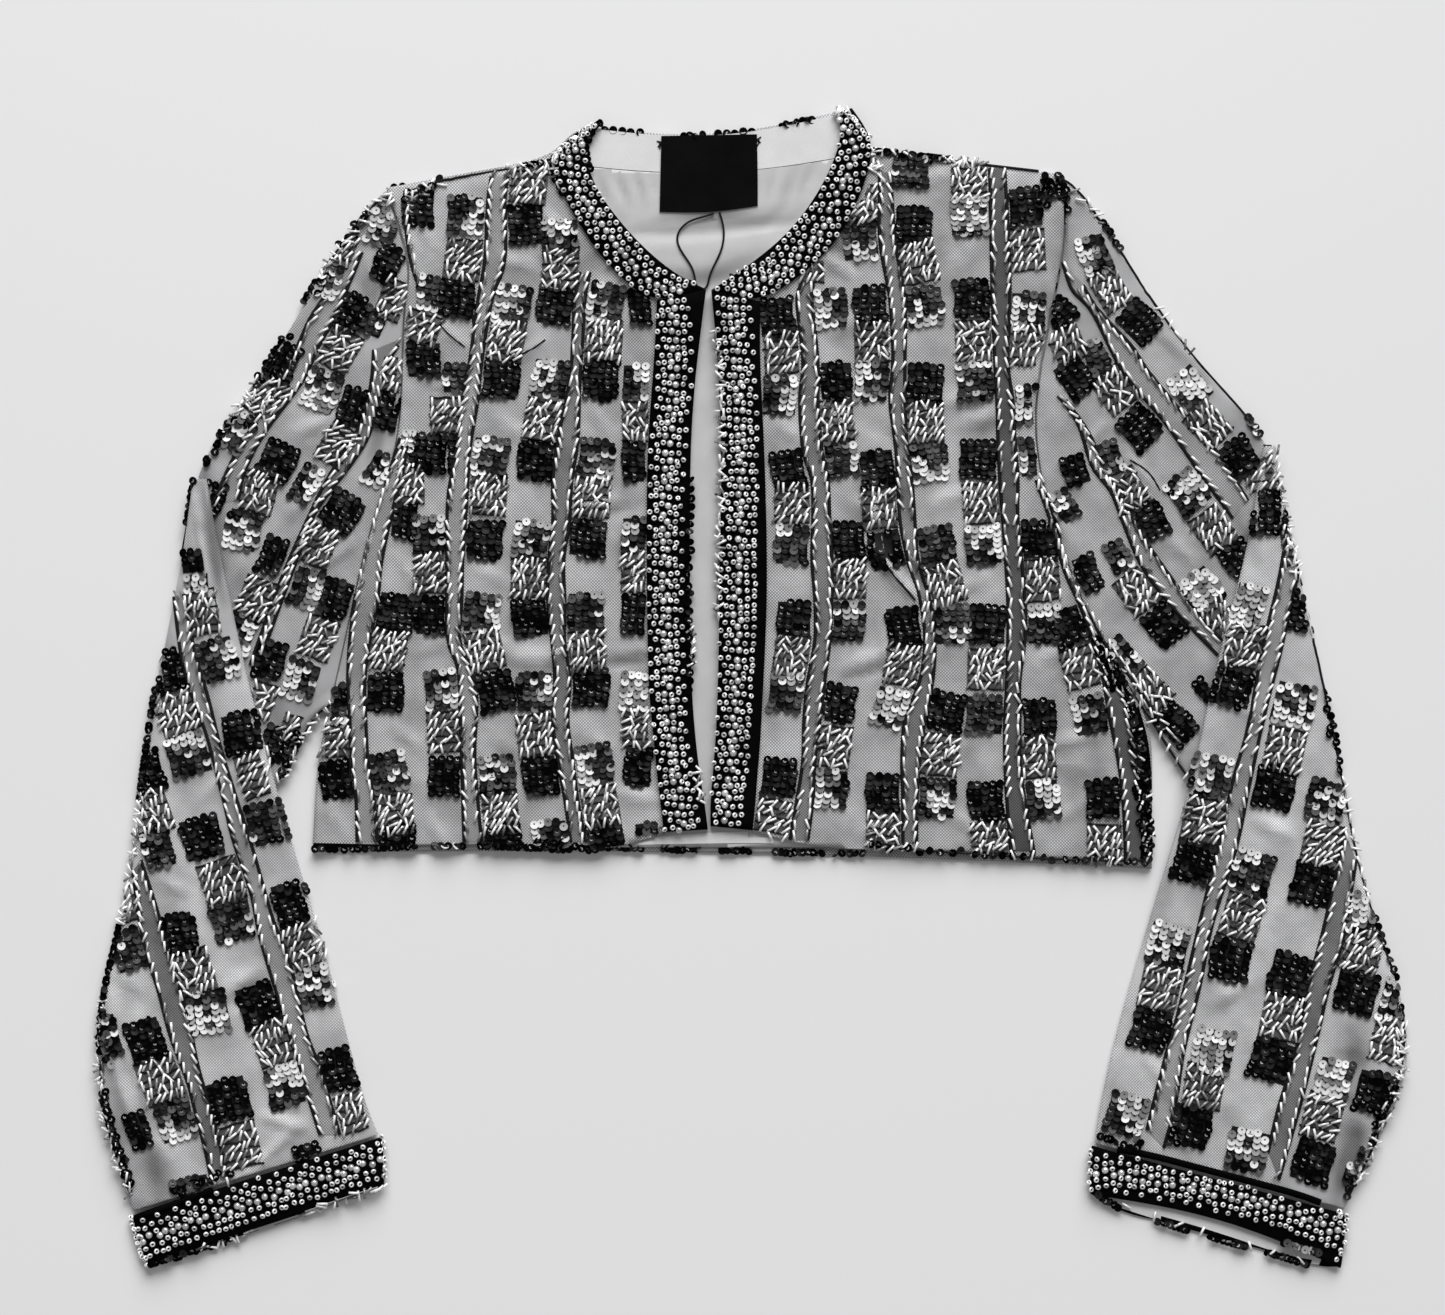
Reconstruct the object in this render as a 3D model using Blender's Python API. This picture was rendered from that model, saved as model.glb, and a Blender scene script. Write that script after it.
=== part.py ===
"""Cropped, collarless beaded jacket, laid flat with its front up.

The sewn pieces are separate solids: back, two fronts, two stretches of each
sleeve, cuffs, the beaded bands at the neck and down the fronts, and the
lining, facing, label and cord loop that show in the neck.  Each lower sleeve
lies on its upper sleeve at the bent elbow.

The frame has X across the jacket, Y towards the neck and Z up, with its origin
under the middle of the whole outline.  Left and right are as seen from above,
so "left" is the wearer's right.  Tables and sizes are in millimetres.
"""

import math
from typing import NamedTuple

import bmesh
import bpy

MM = 0.001

# Layers, from the surface up
SEAM = 0.4
LAYER_GAP = 0.3
PANEL_WALL = 1.6
LINING_WALL = 1.0
SLEEVE_WALL = 1.3
BAND_WALL = 2.2
LABEL_WALL = 0.8
FRONT_LEVEL = PANEL_WALL + LINING_WALL + 2 * LAYER_GAP
TOP_LEVEL = FRONT_LEVEL + PANEL_WALL
INNER_GAP = 2.6
SEAT = LINING_WALL + LAYER_GAP
SEAT_REACH = 20.0

# Widths
EDGE_ROUND = 1.8
EDGE_BLEND = 8.0
CUFF_PROUD = 2.0
CORD_DIAMETER = 1.2

# Spans of the grids that the cloth is drawn on
PANEL_SPANS = 14
BAND_SPANS = 2
BACK_SPANS = 16
LOWER_SPANS = 10

COLLECTION = "beaded_jacket"


class Row(NamedTuple):
    """A line across one front: side or armhole, outside of the band, open edge.

    dip is how far the line hangs below the straight way, near the band.
    """

    side_x: float
    side_y: float
    band_x: float
    band_y: float
    edge_x: float
    edge_y: float
    dip: float


class Span(NamedTuple):
    """A line across a piece from left to right, bent by sag at its middle."""

    left_x: float
    left_y: float
    right_x: float
    right_y: float
    sag: float


class UpperRow(NamedTuple):
    """A line across an upper sleeve, from its outer fold to its underarm.

    bow is its share of the armhole's curve, and ease its share of the folds.
    """

    out_x: float
    out_y: float
    in_x: float
    in_y: float
    bow: float
    ease: float


class LowerRow(NamedTuple):
    """A line across a lower sleeve, with the height of its inner edge."""

    out_x: float
    out_y: float
    in_x: float
    in_y: float
    lift: float


class CuffRow(NamedTuple):
    """The lower edge of a cuff, and how far its underlayer reaches past it."""

    out_x: float
    out_y: float
    in_x: float
    in_y: float
    mouth: float


class Fold(NamedTuple):
    """A soft ridge in the cloth between two points."""

    x0: float
    y0: float
    x1: float
    y1: float
    half_width: float
    height: float


# Fronts, row by row from the hem to the shoulder.  The side seam ends at the
# armhole's row, and the open edge turns into the neck at the neck's row
ARMHOLE_ROW = 4
NECK_ROW = 11

FRONT_LEFT = (
    Row(-256, -92, -52, -81.5, -26.5, -80, 8),
    Row(-255, -72, -53.5, -67.5, -28, -66.5, 3),
    Row(-254, -51, -56, -48.5, -31.5, -46.5, 0),
    Row(-251.5, -29.5, -58, -25, -34, -24, 0),
    Row(-245.5, -9.5, -60.5, -5, -35.5, -5, 0),
    Row(-236.5, 30, -61.5, 30, -37, 30, 0),
    Row(-228, 70.5, -62, 67.5, -37, 67.5, 0),
    Row(-218, 108, -62, 105, -37, 105, 0),
    Row(-205.5, 143, -61.5, 143, -36.5, 143, 0),
    Row(-203.5, 175, -59, 175, -34.5, 175, 0),
    Row(-202.5, 204, -57, 201.5, -31.5, 202, 0),
    Row(-202, 224, -56, 226.5, -27.5, 233, 0),
    Row(-198.5, 240.5, -70.5, 233.5, -45.5, 241.5, 0),
    Row(-200.5, 254.5, -88.5, 252, -66, 259, 0),
    Row(-205.5, 270.5, -102, 272.5, -82, 278, 0),
    Row(-209.5, 283.5, -112, 291, -91.5, 292, 0),
    Row(-213.5, 292.5, -117.5, 306.5, -97, 307, 0),
)

FRONT_RIGHT = (
    Row(231, -102.5, -0.5, -80.5, -25, -78, 6),
    Row(231.5, -75.5, 1, -66.5, -25, -64.5, 2),
    Row(231.5, -54, 2, -51.5, -24, -51.5, 0),
    Row(231.5, -31, 4, -29.5, -22, -29.5, 0),
    Row(229, -13.5, 5, -8, -21, -8, 0),
    Row(208, 15.5, 7, 29, -20, 29, 0),
    Row(189.5, 51.5, 8, 62, -20, 62, 0),
    Row(175, 93.5, 7.5, 99, -19, 99, 0),
    Row(164.5, 128.5, 6.5, 134, -18.5, 134, 0),
    Row(162, 163.5, 5, 167, -19.5, 167, 0),
    Row(167, 195, 3.5, 197, -21, 197, 0),
    Row(173, 224, 4, 226, -24.5, 232.5, 0),
    Row(177, 244.5, 24, 238.5, -1, 248, 0),
    Row(179.5, 260, 45.5, 256.5, 18.5, 264, 0),
    Row(180, 276, 57.5, 278, 31.5, 280, 0),
    Row(179.5, 289, 64.5, 294.5, 40.5, 294.5, 0),
    Row(178, 300.5, 69.5, 313, 48, 311, 0),
)

# Neck bands past the shoulder, where they turn to the back: band then edge
NECK_TOP_LEFT = (Span(-110.5, 318.5, -98.5, 318, 0), Span(-97, 329, -88.5, 329, 0))
NECK_TOP_RIGHT = (Span(66.5, 325.5, 51.5, 324.5, 0), Span(57, 338.5, 49, 336, 0))
NECK_TOP_LEVELS = (FRONT_LEVEL + 0.6, FRONT_LEVEL + 0.1)

# Back panel: its hem, and what it has above the shoulder row
BACK_HEM = Span(-256.5, -93.5, 231.5, -103, 4.5)
BACK_TOP = (
    Span(-164.5, 302, 114, 308.5, 0),
    Span(-118.5, 309.5, 69.5, 314, -1),
    Span(-110.5, 320.5, 66, 326, -5),
    Span(-99.5, 328.5, 53, 338, -9),
)

FACING = (
    Span(-108.5, 306.5, 62.5, 312.5, -8),
    Span(-103.5, 317, 58.5, 321.5, -8),
    Span(-94, 327, 48, 335, -8),
)

# Lining where it shows: the neck, the open front and the hem
LINING = (
    Span(-98, -90.5, 67.5, -90.5, 0),
    Span(-89, -77.5, 56, -77.5, 0),
    Span(-54, -63, 9.5, -63, 0),
    Span(-46, -40, -9, -40, 0),
    Span(-49.5, 53, -5, 53, 0),
    Span(-49.5, 169, -4.5, 169, 0),
    Span(-57, 221.5, 6.5, 221.5, 0),
    Span(-77.5, 238.5, 27, 238.5, 0),
    Span(-96, 262, 49, 262, 0),
    Span(-104, 285, 56, 285, -2),
    Span(-108.5, 306, 62.5, 312, -8),
)

LABEL = (
    Span(-54.5, 278.5, 2.5, 282, -2),
    Span(-54, 300, 2.5, 302, 0),
    Span(-53.5, 322.5, 2, 323.5, 0),
)

# Sleeves.  The first line of an upper sleeve is its armhole
UPPER_LEFT = (
    UpperRow(-234, 269.5, -250.5, -11.5, 0.85, 1),
    UpperRow(-250.5, 244.5, -254, -14, 0.7, 1),
    UpperRow(-265.5, 217, -258, -20.5, 0.55, 1),
    UpperRow(-281.5, 191.5, -262.5, -30, 0.4, 1),
    UpperRow(-299, 168, -267.5, -41, 0.25, 0.6),
    UpperRow(-313.5, 147, -274, -54, 0.1, 0.1),
    UpperRow(-323, 125, -284, -63, 0, 0),
)

UPPER_RIGHT = (
    UpperRow(197.5, 283, 233, -19, 0.85, 1),
    UpperRow(213.5, 255, 237, -26, 0.7, 1),
    UpperRow(229, 231.5, 241, -33, 0.55, 1),
    UpperRow(247.5, 204, 245, -39, 0.4, 1),
    UpperRow(266.5, 182, 249.5, -46.5, 0.25, 0.6),
    UpperRow(285.5, 162, 253.5, -53, 0.1, 0.1),
    UpperRow(298.5, 143, 260, -59, 0, 0),
)

LIFT = TOP_LEVEL + 0.6

LOWER_LEFT = (
    LowerRow(-325.5, 124, -316, 124, LIFT),
    LowerRow(-329, 96.5, -312.5, 98.5, LIFT),
    LowerRow(-333, 73.5, -307.5, 75, LIFT),
    LowerRow(-339.5, 41.5, -300, 41.5, LIFT),
    LowerRow(-346.5, 6.5, -292.5, 6.5, LIFT),
    LowerRow(-352.5, -31, -283, -29.5, LIFT),
    LowerRow(-356, -60, -275, -60, LIFT),
    LowerRow(-358.5, -86, -268.5, -83, LIFT),
    LowerRow(-364, -112, -260.5, -109.5, 1.5),
    LowerRow(-368.5, -141, -252, -138.5, 0),
    LowerRow(-375.5, -166, -244, -167.5, 0),
    LowerRow(-380, -196.5, -236.5, -196.5, 0),
    LowerRow(-381, -222.5, -230, -220.5, 0),
    LowerRow(-377.5, -251.5, -225, -238.5, 0),
    LowerRow(-369.5, -276.5, -220.5, -250, 0),
    LowerRow(-360.5, -303, -217, -257.5, 0),
)

LOWER_RIGHT = (
    LowerRow(303.5, 143.5, 294.5, 143.5, LIFT),
    LowerRow(306, 111, 291, 112, LIFT),
    LowerRow(316, 76.5, 284, 77.5, LIFT),
    LowerRow(323, 41.5, 275, 42.5, LIFT),
    LowerRow(329.5, 12.5, 267, 12.5, LIFT),
    LowerRow(338, -25, 259, -25, LIFT),
    LowerRow(343.5, -57, 251.5, -57, LIFT),
    LowerRow(349.5, -92, 242, -89, LIFT),
    LowerRow(357, -121, 233.5, -118, 1.5),
    LowerRow(367, -150, 226, -144, 0),
    LowerRow(376, -173, 219, -167.5, 0),
    LowerRow(380, -196.5, 211.5, -193.5, 0),
    LowerRow(381, -219.5, 206, -216.5, 0),
    LowerRow(373, -242.5, 201.5, -237, 0),
    LowerRow(358.5, -270.5, 199, -251.5, 0),
    LowerRow(343.5, -302, 197.5, -262.5, 0),
)

CUFF_LEFT = CuffRow(-353.5, -333, -213.5, -287, 2)
CUFF_RIGHT = CuffRow(342, -336, 194.5, -292, 12.4)

# The inner edge of a lower sleeve lies on the upper one for this far in, and
# comes down to the surface over the next stretch
OVERLAP = 14.0
RAMP = 16.0

FOLDS = (
    Fold(-156, 282, -173, 140, 20, 1.6),
    Fold(-173, 140, -163, -83, 20, 1.8),
    Fold(-102, 227, -112, 76, 20, 1.6),
    Fold(-112, 76, -102, -86, 20, 1.6),
    Fold(-200, 247, -203, 158, 20, 3.0),
    Fold(-223, 92, -232, -40, 18, 2.0),
    Fold(28, 221, 41, 76, 20, 1.6),
    Fold(41, 76, 30, -80, 20, 1.6),
    Fold(76, 285, 85, 140, 20, 1.8),
    Fold(85, 140, 92, -80, 20, 1.8),
    Fold(143, 297, 149, 111, 20, 1.8),
    Fold(149, 111, 153, -92, 20, 1.8),
    Fold(66, 88, 98, 50, 16, 3.0),
    Fold(172, 99, 204, 7, 20, 4.0),
    Fold(204, 7, 224, -98, 20, 4.0),
    Fold(-31, 231, -22, 228, 34, 2.8),
    Fold(172, 285, 173, 210, 18, 3.0),
    Fold(-237, 265, -301, 169, 18, 2.0),
    Fold(-219, 198, -257, 105, 20, 2.4),
    Fold(-257, 105, -277, 25, 20, 2.0),
    Fold(181, 256, 236, 169, 20, 2.2),
    Fold(236, 169, 272, 112, 20, 1.8),
    Fold(178, 172, 211, 102, 20, 2.6),
    Fold(211, 102, 250, 30, 20, 2.0),
    Fold(-318, 0, -290, -110, 20, 2.2),
    Fold(-290, -110, -250, -245, 20, 2.4),
    Fold(-345, -70, -310, -250, 20, 2.4),
    Fold(-371, -175, -368, -240, 20, 4.6),
    Fold(-368, -240, -350, -290, 20, 4.2),
    Fold(300, 0, 270, -110, 20, 2.2),
    Fold(270, -110, 235, -245, 20, 2.4),
    Fold(335, -90, 300, -270, 20, 2.4),
    Fold(368, -180, 366, -225, 20, 4.6),
    Fold(366, -225, 338, -290, 20, 4.2),
)

# The loop lies on the lining, from the label and back to it
LOOP_ROUTE = (
    (-23.0, 277.6),
    (-27.5, 275.9),
    (-34.0, 274.6),
    (-40.5, 271.2),
    (-44.6, 265.6),
    (-44.2, 259.0),
    (-39.6, 252.2),
    (-35.4, 246.2),
    (-34.0, 240.6),
    (-33.6, 235.4),
    (-30.0, 232.2),
    (-26.4, 235.2),
    (-25.9, 240.8),
    (-22.8, 247.6),
    (-18.6, 255.6),
    (-16.8, 264.0),
    (-17.4, 271.6),
    (-19.8, 278.2),
)
LOOP_LEVEL = FRONT_LEVEL + CORD_DIAMETER / 2 + 0.02
LOOP_STEP = 3.0

# Colours
NET_GREY = (0.16, 0.16, 0.165, 1)
RIBBON_BLACK = (0.012, 0.012, 0.013, 1)
LINING_PALE = (0.62, 0.62, 0.63, 1)
LABEL_BLACK = (0.01, 0.01, 0.011, 1)


def make_material(name, colour, roughness):
    """Make a plain cloth finish."""
    material = bpy.data.materials.new(name)
    material.use_nodes = True
    shader = material.node_tree.nodes["Principled BSDF"]
    shader.inputs["Base Color"].default_value = colour
    shader.inputs["Roughness"].default_value = roughness
    shader.inputs["Metallic"].default_value = 0.0
    return material


def mix(first, second, share):
    """Return the value that lies this share of the way to the second one."""
    return first + (second - first) * share


def mix_points(first, second, share):
    """Return the point that lies this share of the way to the second one."""
    return tuple(mix(a, b, share) for a, b in zip(first, second))


def soft_step(value):
    """Rise smoothly from 0 to 1 as the value does, flat outside that range."""
    clamped = min(max(value, 0.0), 1.0)
    return clamped * clamped * (3 - 2 * clamped)


def relief(x, y):
    """Return how far the folds raise the upper cloth at one place."""
    total = 0.0
    for fold in FOLDS:
        run_x = fold.x1 - fold.x0
        run_y = fold.y1 - fold.y0
        along = ((x - fold.x0) * run_x + (y - fold.y0) * run_y) / (run_x ** 2 + run_y ** 2)
        along = min(max(along, 0.0), 1.0)
        distance = math.hypot(x - fold.x0 - along * run_x, y - fold.y0 - along * run_y)
        if distance < fold.half_width:
            height = fold.height * (0.5 + 0.5 * math.cos(math.pi * distance / fold.half_width))
            total = max(total, height)
    return total


def cross(span, spans):
    """Return the points of a line from left to right, sagging at its middle."""
    points = []
    for step in range(spans + 1):
        share = step / spans
        x = mix(span.left_x, span.right_x, share)
        y = mix(span.left_y, span.right_y, share) + span.sag * math.sin(math.pi * share)
        points.append((x, y))
    return points


def add_object(name, mesh, material):
    """Put a mesh into the jacket's collection, with its faces turned out."""
    shape = bmesh.new()
    shape.from_mesh(mesh)
    bmesh.ops.recalc_face_normals(shape, faces=shape.faces)
    shape.to_mesh(mesh)
    shape.free()
    mesh.materials.append(material)
    mesh.shade_smooth()
    mesh.set_sharp_from_angle(angle=math.radians(40))
    thing = bpy.data.objects.new(name, mesh)
    bpy.data.collections[COLLECTION].objects.link(thing)
    return thing


def slab(name, rows, material):
    """Close rows of points, each with a low and a high side, into a solid."""
    across = len(rows[0])
    points = [point for row in rows for point in row]
    under = len(points)
    vertices = [(x * MM, y * MM, high * MM) for x, y, low, high in points]
    vertices += [(x * MM, y * MM, low * MM) for x, y, low, high in points]
    faces = []
    for first in range(0, under - across, across):
        for near in range(first, first + across - 1):
            far = near + across
            faces += [(near, near + 1, far + 1), (near, far + 1, far)]
            faces += [
                (under + near, under + far + 1, under + near + 1),
                (under + near, under + far, under + far + 1),
            ]
    rim = list(range(across))
    rim += list(range(2 * across - 1, under, across))
    rim += list(range(under - 2, under - across - 1, -1))
    rim += list(range(under - 2 * across, 0, -across))
    for here, there in zip(rim, rim[1:] + rim[:1]):
        faces += [(there, here, under + here), (there, under + here, under + there)]
    mesh = bpy.data.meshes.new(name)
    mesh.from_pydata(vertices, [], faces)
    return add_object(name, mesh, material)


def tube(name, outer_rings, inner_rings, material):
    """Close two nested tubes of rings into one wall, open at both ends."""
    around = len(outer_rings[0])
    vertices = [
        (x * MM, y * MM, z * MM)
        for rings in (outer_rings, inner_rings)
        for ring in rings
        for x, y, z in ring
    ]
    inside = len(outer_rings) * around
    faces = []
    for ring in range(len(outer_rings) - 1):
        for step in range(around):
            near = ring * around + step
            beside = ring * around + (step + 1) % around
            far = near + around
            far_beside = beside + around
            faces += [(near, beside, far_beside), (near, far_beside, far)]
            faces += [
                (inside + near, inside + far_beside, inside + beside),
                (inside + near, inside + far, inside + far_beside),
            ]
    for ring in (0, len(outer_rings) - 1):
        for step in range(around):
            here = ring * around + step
            there = ring * around + (step + 1) % around
            faces += [(here, there, inside + there), (here, inside + there, inside + here)]
    mesh = bpy.data.meshes.new(name)
    mesh.from_pydata(vertices, [], faces)
    return add_object(name, mesh, material)


def moved_towards(start, goal, distance):
    """Return the point this far from the start, on the way to the goal."""
    length = math.dist(start, goal)
    return mix_points(start, goal, distance / length)


def drawn_in(line, reach):
    """Draw the ends of a line in by this reach, and what is near them by less."""
    last = len(line) - 1
    drawn = []
    for index, point in enumerate(line):
        for end, neighbour in ((0, min(index + 1, last)), (last, max(index - 1, 0))):
            share = max(0.0, 1 - math.dist(line[index], line[end]) / EDGE_BLEND)
            if share and neighbour != index:
                step = moved_towards(line[index], line[neighbour], reach * share)
                point = (
                    point[0] + step[0] - line[index][0],
                    point[1] + step[1] - line[index][1],
                )
        drawn.append(point)
    return drawn


def flat_rings(line, lows, highs, wall, under_shift=None):
    """Return the outer and inner ring round a flattened tube of cloth.

    The line crosses the tube between its two folds, and under_shift moves the
    lower layer's points in plan.
    """
    shifts = under_shift or [(0.0, 0.0)] * len(line)
    last = len(line) - 1
    rings = []
    for inset in (0.0, wall):
        flat = drawn_in(line, EDGE_ROUND + 0.6 * inset)
        ring = []
        for end in (0, last):
            neighbour = 1 if end == 0 else last - 1
            fold = moved_towards(line[end], line[neighbour], inset) if inset else line[end]
            middle = (
                fold[0] + shifts[end][0] / 2,
                fold[1] + shifts[end][1] / 2,
                (lows[end] + highs[end]) / 2,
            )
            order = range(len(line)) if end == 0 else range(last, -1, -1)
            ring.append(middle)
            for index in order:
                if end == 0:
                    height = highs[index]
                    if inset:
                        height = min(height - inset, lows[index] + inset + INNER_GAP)
                    ring.append((flat[index][0], flat[index][1], height))
                else:
                    x = flat[index][0] + shifts[index][0]
                    y = flat[index][1] + shifts[index][1]
                    ring.append((x, y, lows[index] + inset))
        rings.append(ring)
    return rings


def seated(index, share, from_side, last):
    """Return how far a front comes down to the back at its seams and hem."""
    if index in (0, last):
        return SEAT * (1 - soft_step((share - 0.35) / 0.3))
    if index < ARMHOLE_ROW:
        return SEAT * (1 - soft_step(from_side / SEAT_REACH))
    return 0.0


def front_rows(rows):
    """Return a front's points from its side to its open edge, row by row."""
    result = []
    for index, row in enumerate(rows):
        side = (row.side_x, row.side_y)
        band = (row.band_x, row.band_y)
        edge = (row.edge_x, row.edge_y)
        line = []
        for step in range(PANEL_SPANS):
            share = step / PANEL_SPANS
            x, y = mix_points(side, band, share)
            line.append((x, y - row.dip * math.sin(math.pi * share ** 3.5)))
        for step in range(BAND_SPANS + 1):
            line.append(mix_points(band, edge, step / BAND_SPANS))
        points = []
        for step, (x, y) in enumerate(line):
            share = step / PANEL_SPANS
            drop = seated(index, share, math.dist(side, (x, y)), len(rows) - 1)
            raised = relief(x, y) * (1 - drop / SEAT)
            low = FRONT_LEVEL - drop + min(raised, INNER_GAP)
            points.append((x, y, low, TOP_LEVEL - drop + raised))
        result.append(points)
    return result


def make_front(name, rows, material):
    """Make one front as a wall of cloth over the back."""
    return slab(name, front_rows(rows), material)


def on_top(points, wall):
    """Move the points of a panel out, into a piece that lies on it."""
    return [(x, y, high + LAYER_GAP, high + LAYER_GAP + wall) for x, y, low, high in points]


def make_bands(side, rows, neck_top, material):
    """Make the band down one front and the band round that half of the neck."""
    strips = [on_top(line[-BAND_SPANS - 1:], BAND_WALL) for line in front_rows(rows)]
    slab(f"band_front_{side}", strips[: NECK_ROW + 1], material)
    lower, upper = strips[NECK_ROW], strips[NECK_ROW + 1]
    start = [mix_points(a, b, SEAM / math.dist(a[:2], b[:2])) for a, b in zip(lower, upper)]
    neck = [start] + strips[NECK_ROW + 1:]
    for span, level in zip(neck_top, NECK_TOP_LEVELS):
        neck.append([(x, y, level, level + BAND_WALL) for x, y in cross(span, BAND_SPANS)])
    slab(f"band_neck_{side}", neck, material)


def make_back(material):
    """Make the back, which carries everything and rests on the surface."""
    spans = [BACK_HEM]
    for left, right in zip(FRONT_LEFT[1:], FRONT_RIGHT[1:]):
        spans.append(Span(left.side_x, left.side_y, right.side_x, right.side_y, 0))
    spans += BACK_TOP
    rows = [[(x, y, 0.0, PANEL_WALL) for x, y in cross(span, BACK_SPANS)] for span in spans]
    slab("back_panel", rows, material)


def make_inside(material):
    """Make the lining and the facing that show inside the neck and front."""
    low = PANEL_WALL + LAYER_GAP
    for name, spans, count in (("lining_back", LINING, 8), ("facing_back_neck", FACING, 10)):
        rows = [[(x, y, low, low + LINING_WALL) for x, y in cross(span, count)] for span in spans]
        slab(name, rows, material)


def make_label(material):
    """Make the blank woven label sewn into the neck."""
    low, high = FRONT_LEVEL, FRONT_LEVEL + LABEL_WALL
    slab("label", [[(x, y, low, high) for x, y in cross(span, 4)] for span in LABEL], material)


def armhole(rows, outward):
    """Return the armhole from shoulder to underarm, moved out by the seam."""
    seam = [(row.side_x, row.side_y) for row in rows[ARMHOLE_ROW:]]
    seam.reverse()
    moved = []
    for index, (x, y) in enumerate(seam):
        before = seam[max(index - 1, 0)]
        after = seam[min(index + 1, len(seam) - 1)]
        length = math.dist(before, after)
        across_x = (after[1] - before[1]) / length * -outward
        across_y = (after[0] - before[0]) / length * outward
        moved.append((x + across_x * SEAM, y + across_y * SEAM))
    return moved


def make_upper_sleeve(name, front, rows, outward, material):
    """Make the stretch of a sleeve from its armhole to under the lower one."""
    start = armhole(front, outward)
    last = len(start) - 1
    bends = []
    for index, point in enumerate(start):
        straight = mix_points(start[0], start[last], index / last)
        bends.append((point[0] - straight[0], point[1] - straight[1]))
    lines = [(start, 1.0)]
    for row in rows:
        line = []
        for index, bend in enumerate(bends):
            x, y = mix_points((row.out_x, row.out_y), (row.in_x, row.in_y), index / last)
            line.append((x + bend[0] * row.bow, y + bend[1] * row.bow))
        lines.append((line, row.ease))
    outer, inner = [], []
    for line, ease in lines:
        highs = [TOP_LEVEL + relief(x, y) * ease for x, y in line]
        outside, inside = flat_rings(line, [0.0] * len(line), highs, SLEEVE_WALL)
        outer.append(outside)
        inner.append(inside)
    tube(name, outer, inner, material)


def make_lower_sleeve(name, rows, material):
    """Make the stretch of a sleeve from over the elbow to its cuff."""
    outer, inner = [], []
    for row in rows:
        start = (row.out_x, row.out_y)
        end = (row.in_x, row.in_y)
        line = [mix_points(start, end, step / LOWER_SPANS) for step in range(LOWER_SPANS + 1)]
        lows = []
        for point in line:
            into = math.dist(point, end)
            lows.append(row.lift * (1 - soft_step((into - OVERLAP) / RAMP)))
        highs = [low + TOP_LEVEL + relief(x, y) for low, (x, y) in zip(lows, line)]
        outside, inside = flat_rings(line, lows, highs, SLEEVE_WALL)
        outer.append(outside)
        inner.append(inside)
    tube(name, outer, inner, material)


def make_cuff(name, sleeve_end, cuff, material):
    """Make the beaded band round a sleeve's end as a flattened ring."""
    top_out = (sleeve_end.out_x, sleeve_end.out_y)
    top_in = (sleeve_end.in_x, sleeve_end.in_y)
    low_out = (cuff.out_x, cuff.out_y)
    low_in = (cuff.in_x, cuff.in_y)
    first_out = moved_towards(top_out, low_out, 2 * SEAM)
    first_in = moved_towards(top_in, low_in, 2 * SEAM)
    wide_out = moved_towards(first_out, first_in, -CUFF_PROUD)
    wide_in = moved_towards(first_in, first_out, -CUFF_PROUD)
    outer, inner = [], []
    for depth in (0.0, 0.5, 1.0):
        start = mix_points(wide_out, low_out, depth)
        end = mix_points(wide_in, low_in, depth)
        line = [mix_points(start, end, step / LOWER_SPANS) for step in range(LOWER_SPANS + 1)]
        shifts = []
        for step in range(LOWER_SPANS + 1):
            open_share = math.sin(math.pi * step / LOWER_SPANS) ** 0.5
            shifts.append((0.0, -cuff.mouth * open_share * depth))
        thick = TOP_LEVEL + 0.8 + 0.6 * depth
        lows = [0.0] * len(line)
        highs = [thick] * len(line)
        outside, inside = flat_rings(line, lows, highs, SLEEVE_WALL + 0.4, shifts)
        outer.append(outside)
        inner.append(inside)
    tube(name, outer, inner, material)


def smooth_route(points, step):
    """Read points at even steps from a smooth curve through the given ones."""
    fine = []
    for index in range(len(points) - 1):
        before = points[max(index - 1, 0)]
        here, there = points[index], points[index + 1]
        after = points[min(index + 2, len(points) - 1)]
        for part in range(12):
            t = part / 12
            place = []
            for a, b, c, d in zip(before, here, there, after):
                curve = 2 * b + (c - a) * t
                curve += (2 * a - 5 * b + 4 * c - d) * t ** 2
                curve += (3 * b - a - 3 * c + d) * t ** 3
                place.append(curve / 2)
            fine.append(tuple(place))
    fine.append(tuple(points[-1]))
    length = sum(math.dist(a, b) for a, b in zip(fine, fine[1:]))
    count = round(length / step)
    spacing = length / count
    route = [fine[0]]
    travelled = 0.0
    for a, b in zip(fine, fine[1:]):
        piece = math.dist(a, b)
        while len(route) < count and travelled + piece >= len(route) * spacing:
            route.append(mix_points(a, b, (len(route) * spacing - travelled) / piece))
        travelled += piece
    route.append(fine[-1])
    return route


def make_loop(material):
    """Make the thin cord loop that hangs from the label."""
    route = smooth_route(LOOP_ROUTE, LOOP_STEP)
    curve = bpy.data.curves.new("hanger_loop", "CURVE")
    curve.dimensions = "3D"
    curve.bevel_depth = CORD_DIAMETER / 2 * MM
    curve.bevel_resolution = 2
    curve.use_fill_caps = True
    curve.render_resolution_u = 0
    spline = curve.splines.new("POLY")
    spline.points.add(len(route) - 1)
    for point, (x, y) in zip(spline.points, route):
        point.co = (x * MM, y * MM, LOOP_LEVEL * MM, 1.0)
    curve.materials.append(material)
    loop = bpy.data.objects.new("hanger_loop", curve)
    bpy.data.collections[COLLECTION].objects.link(loop)


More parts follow.
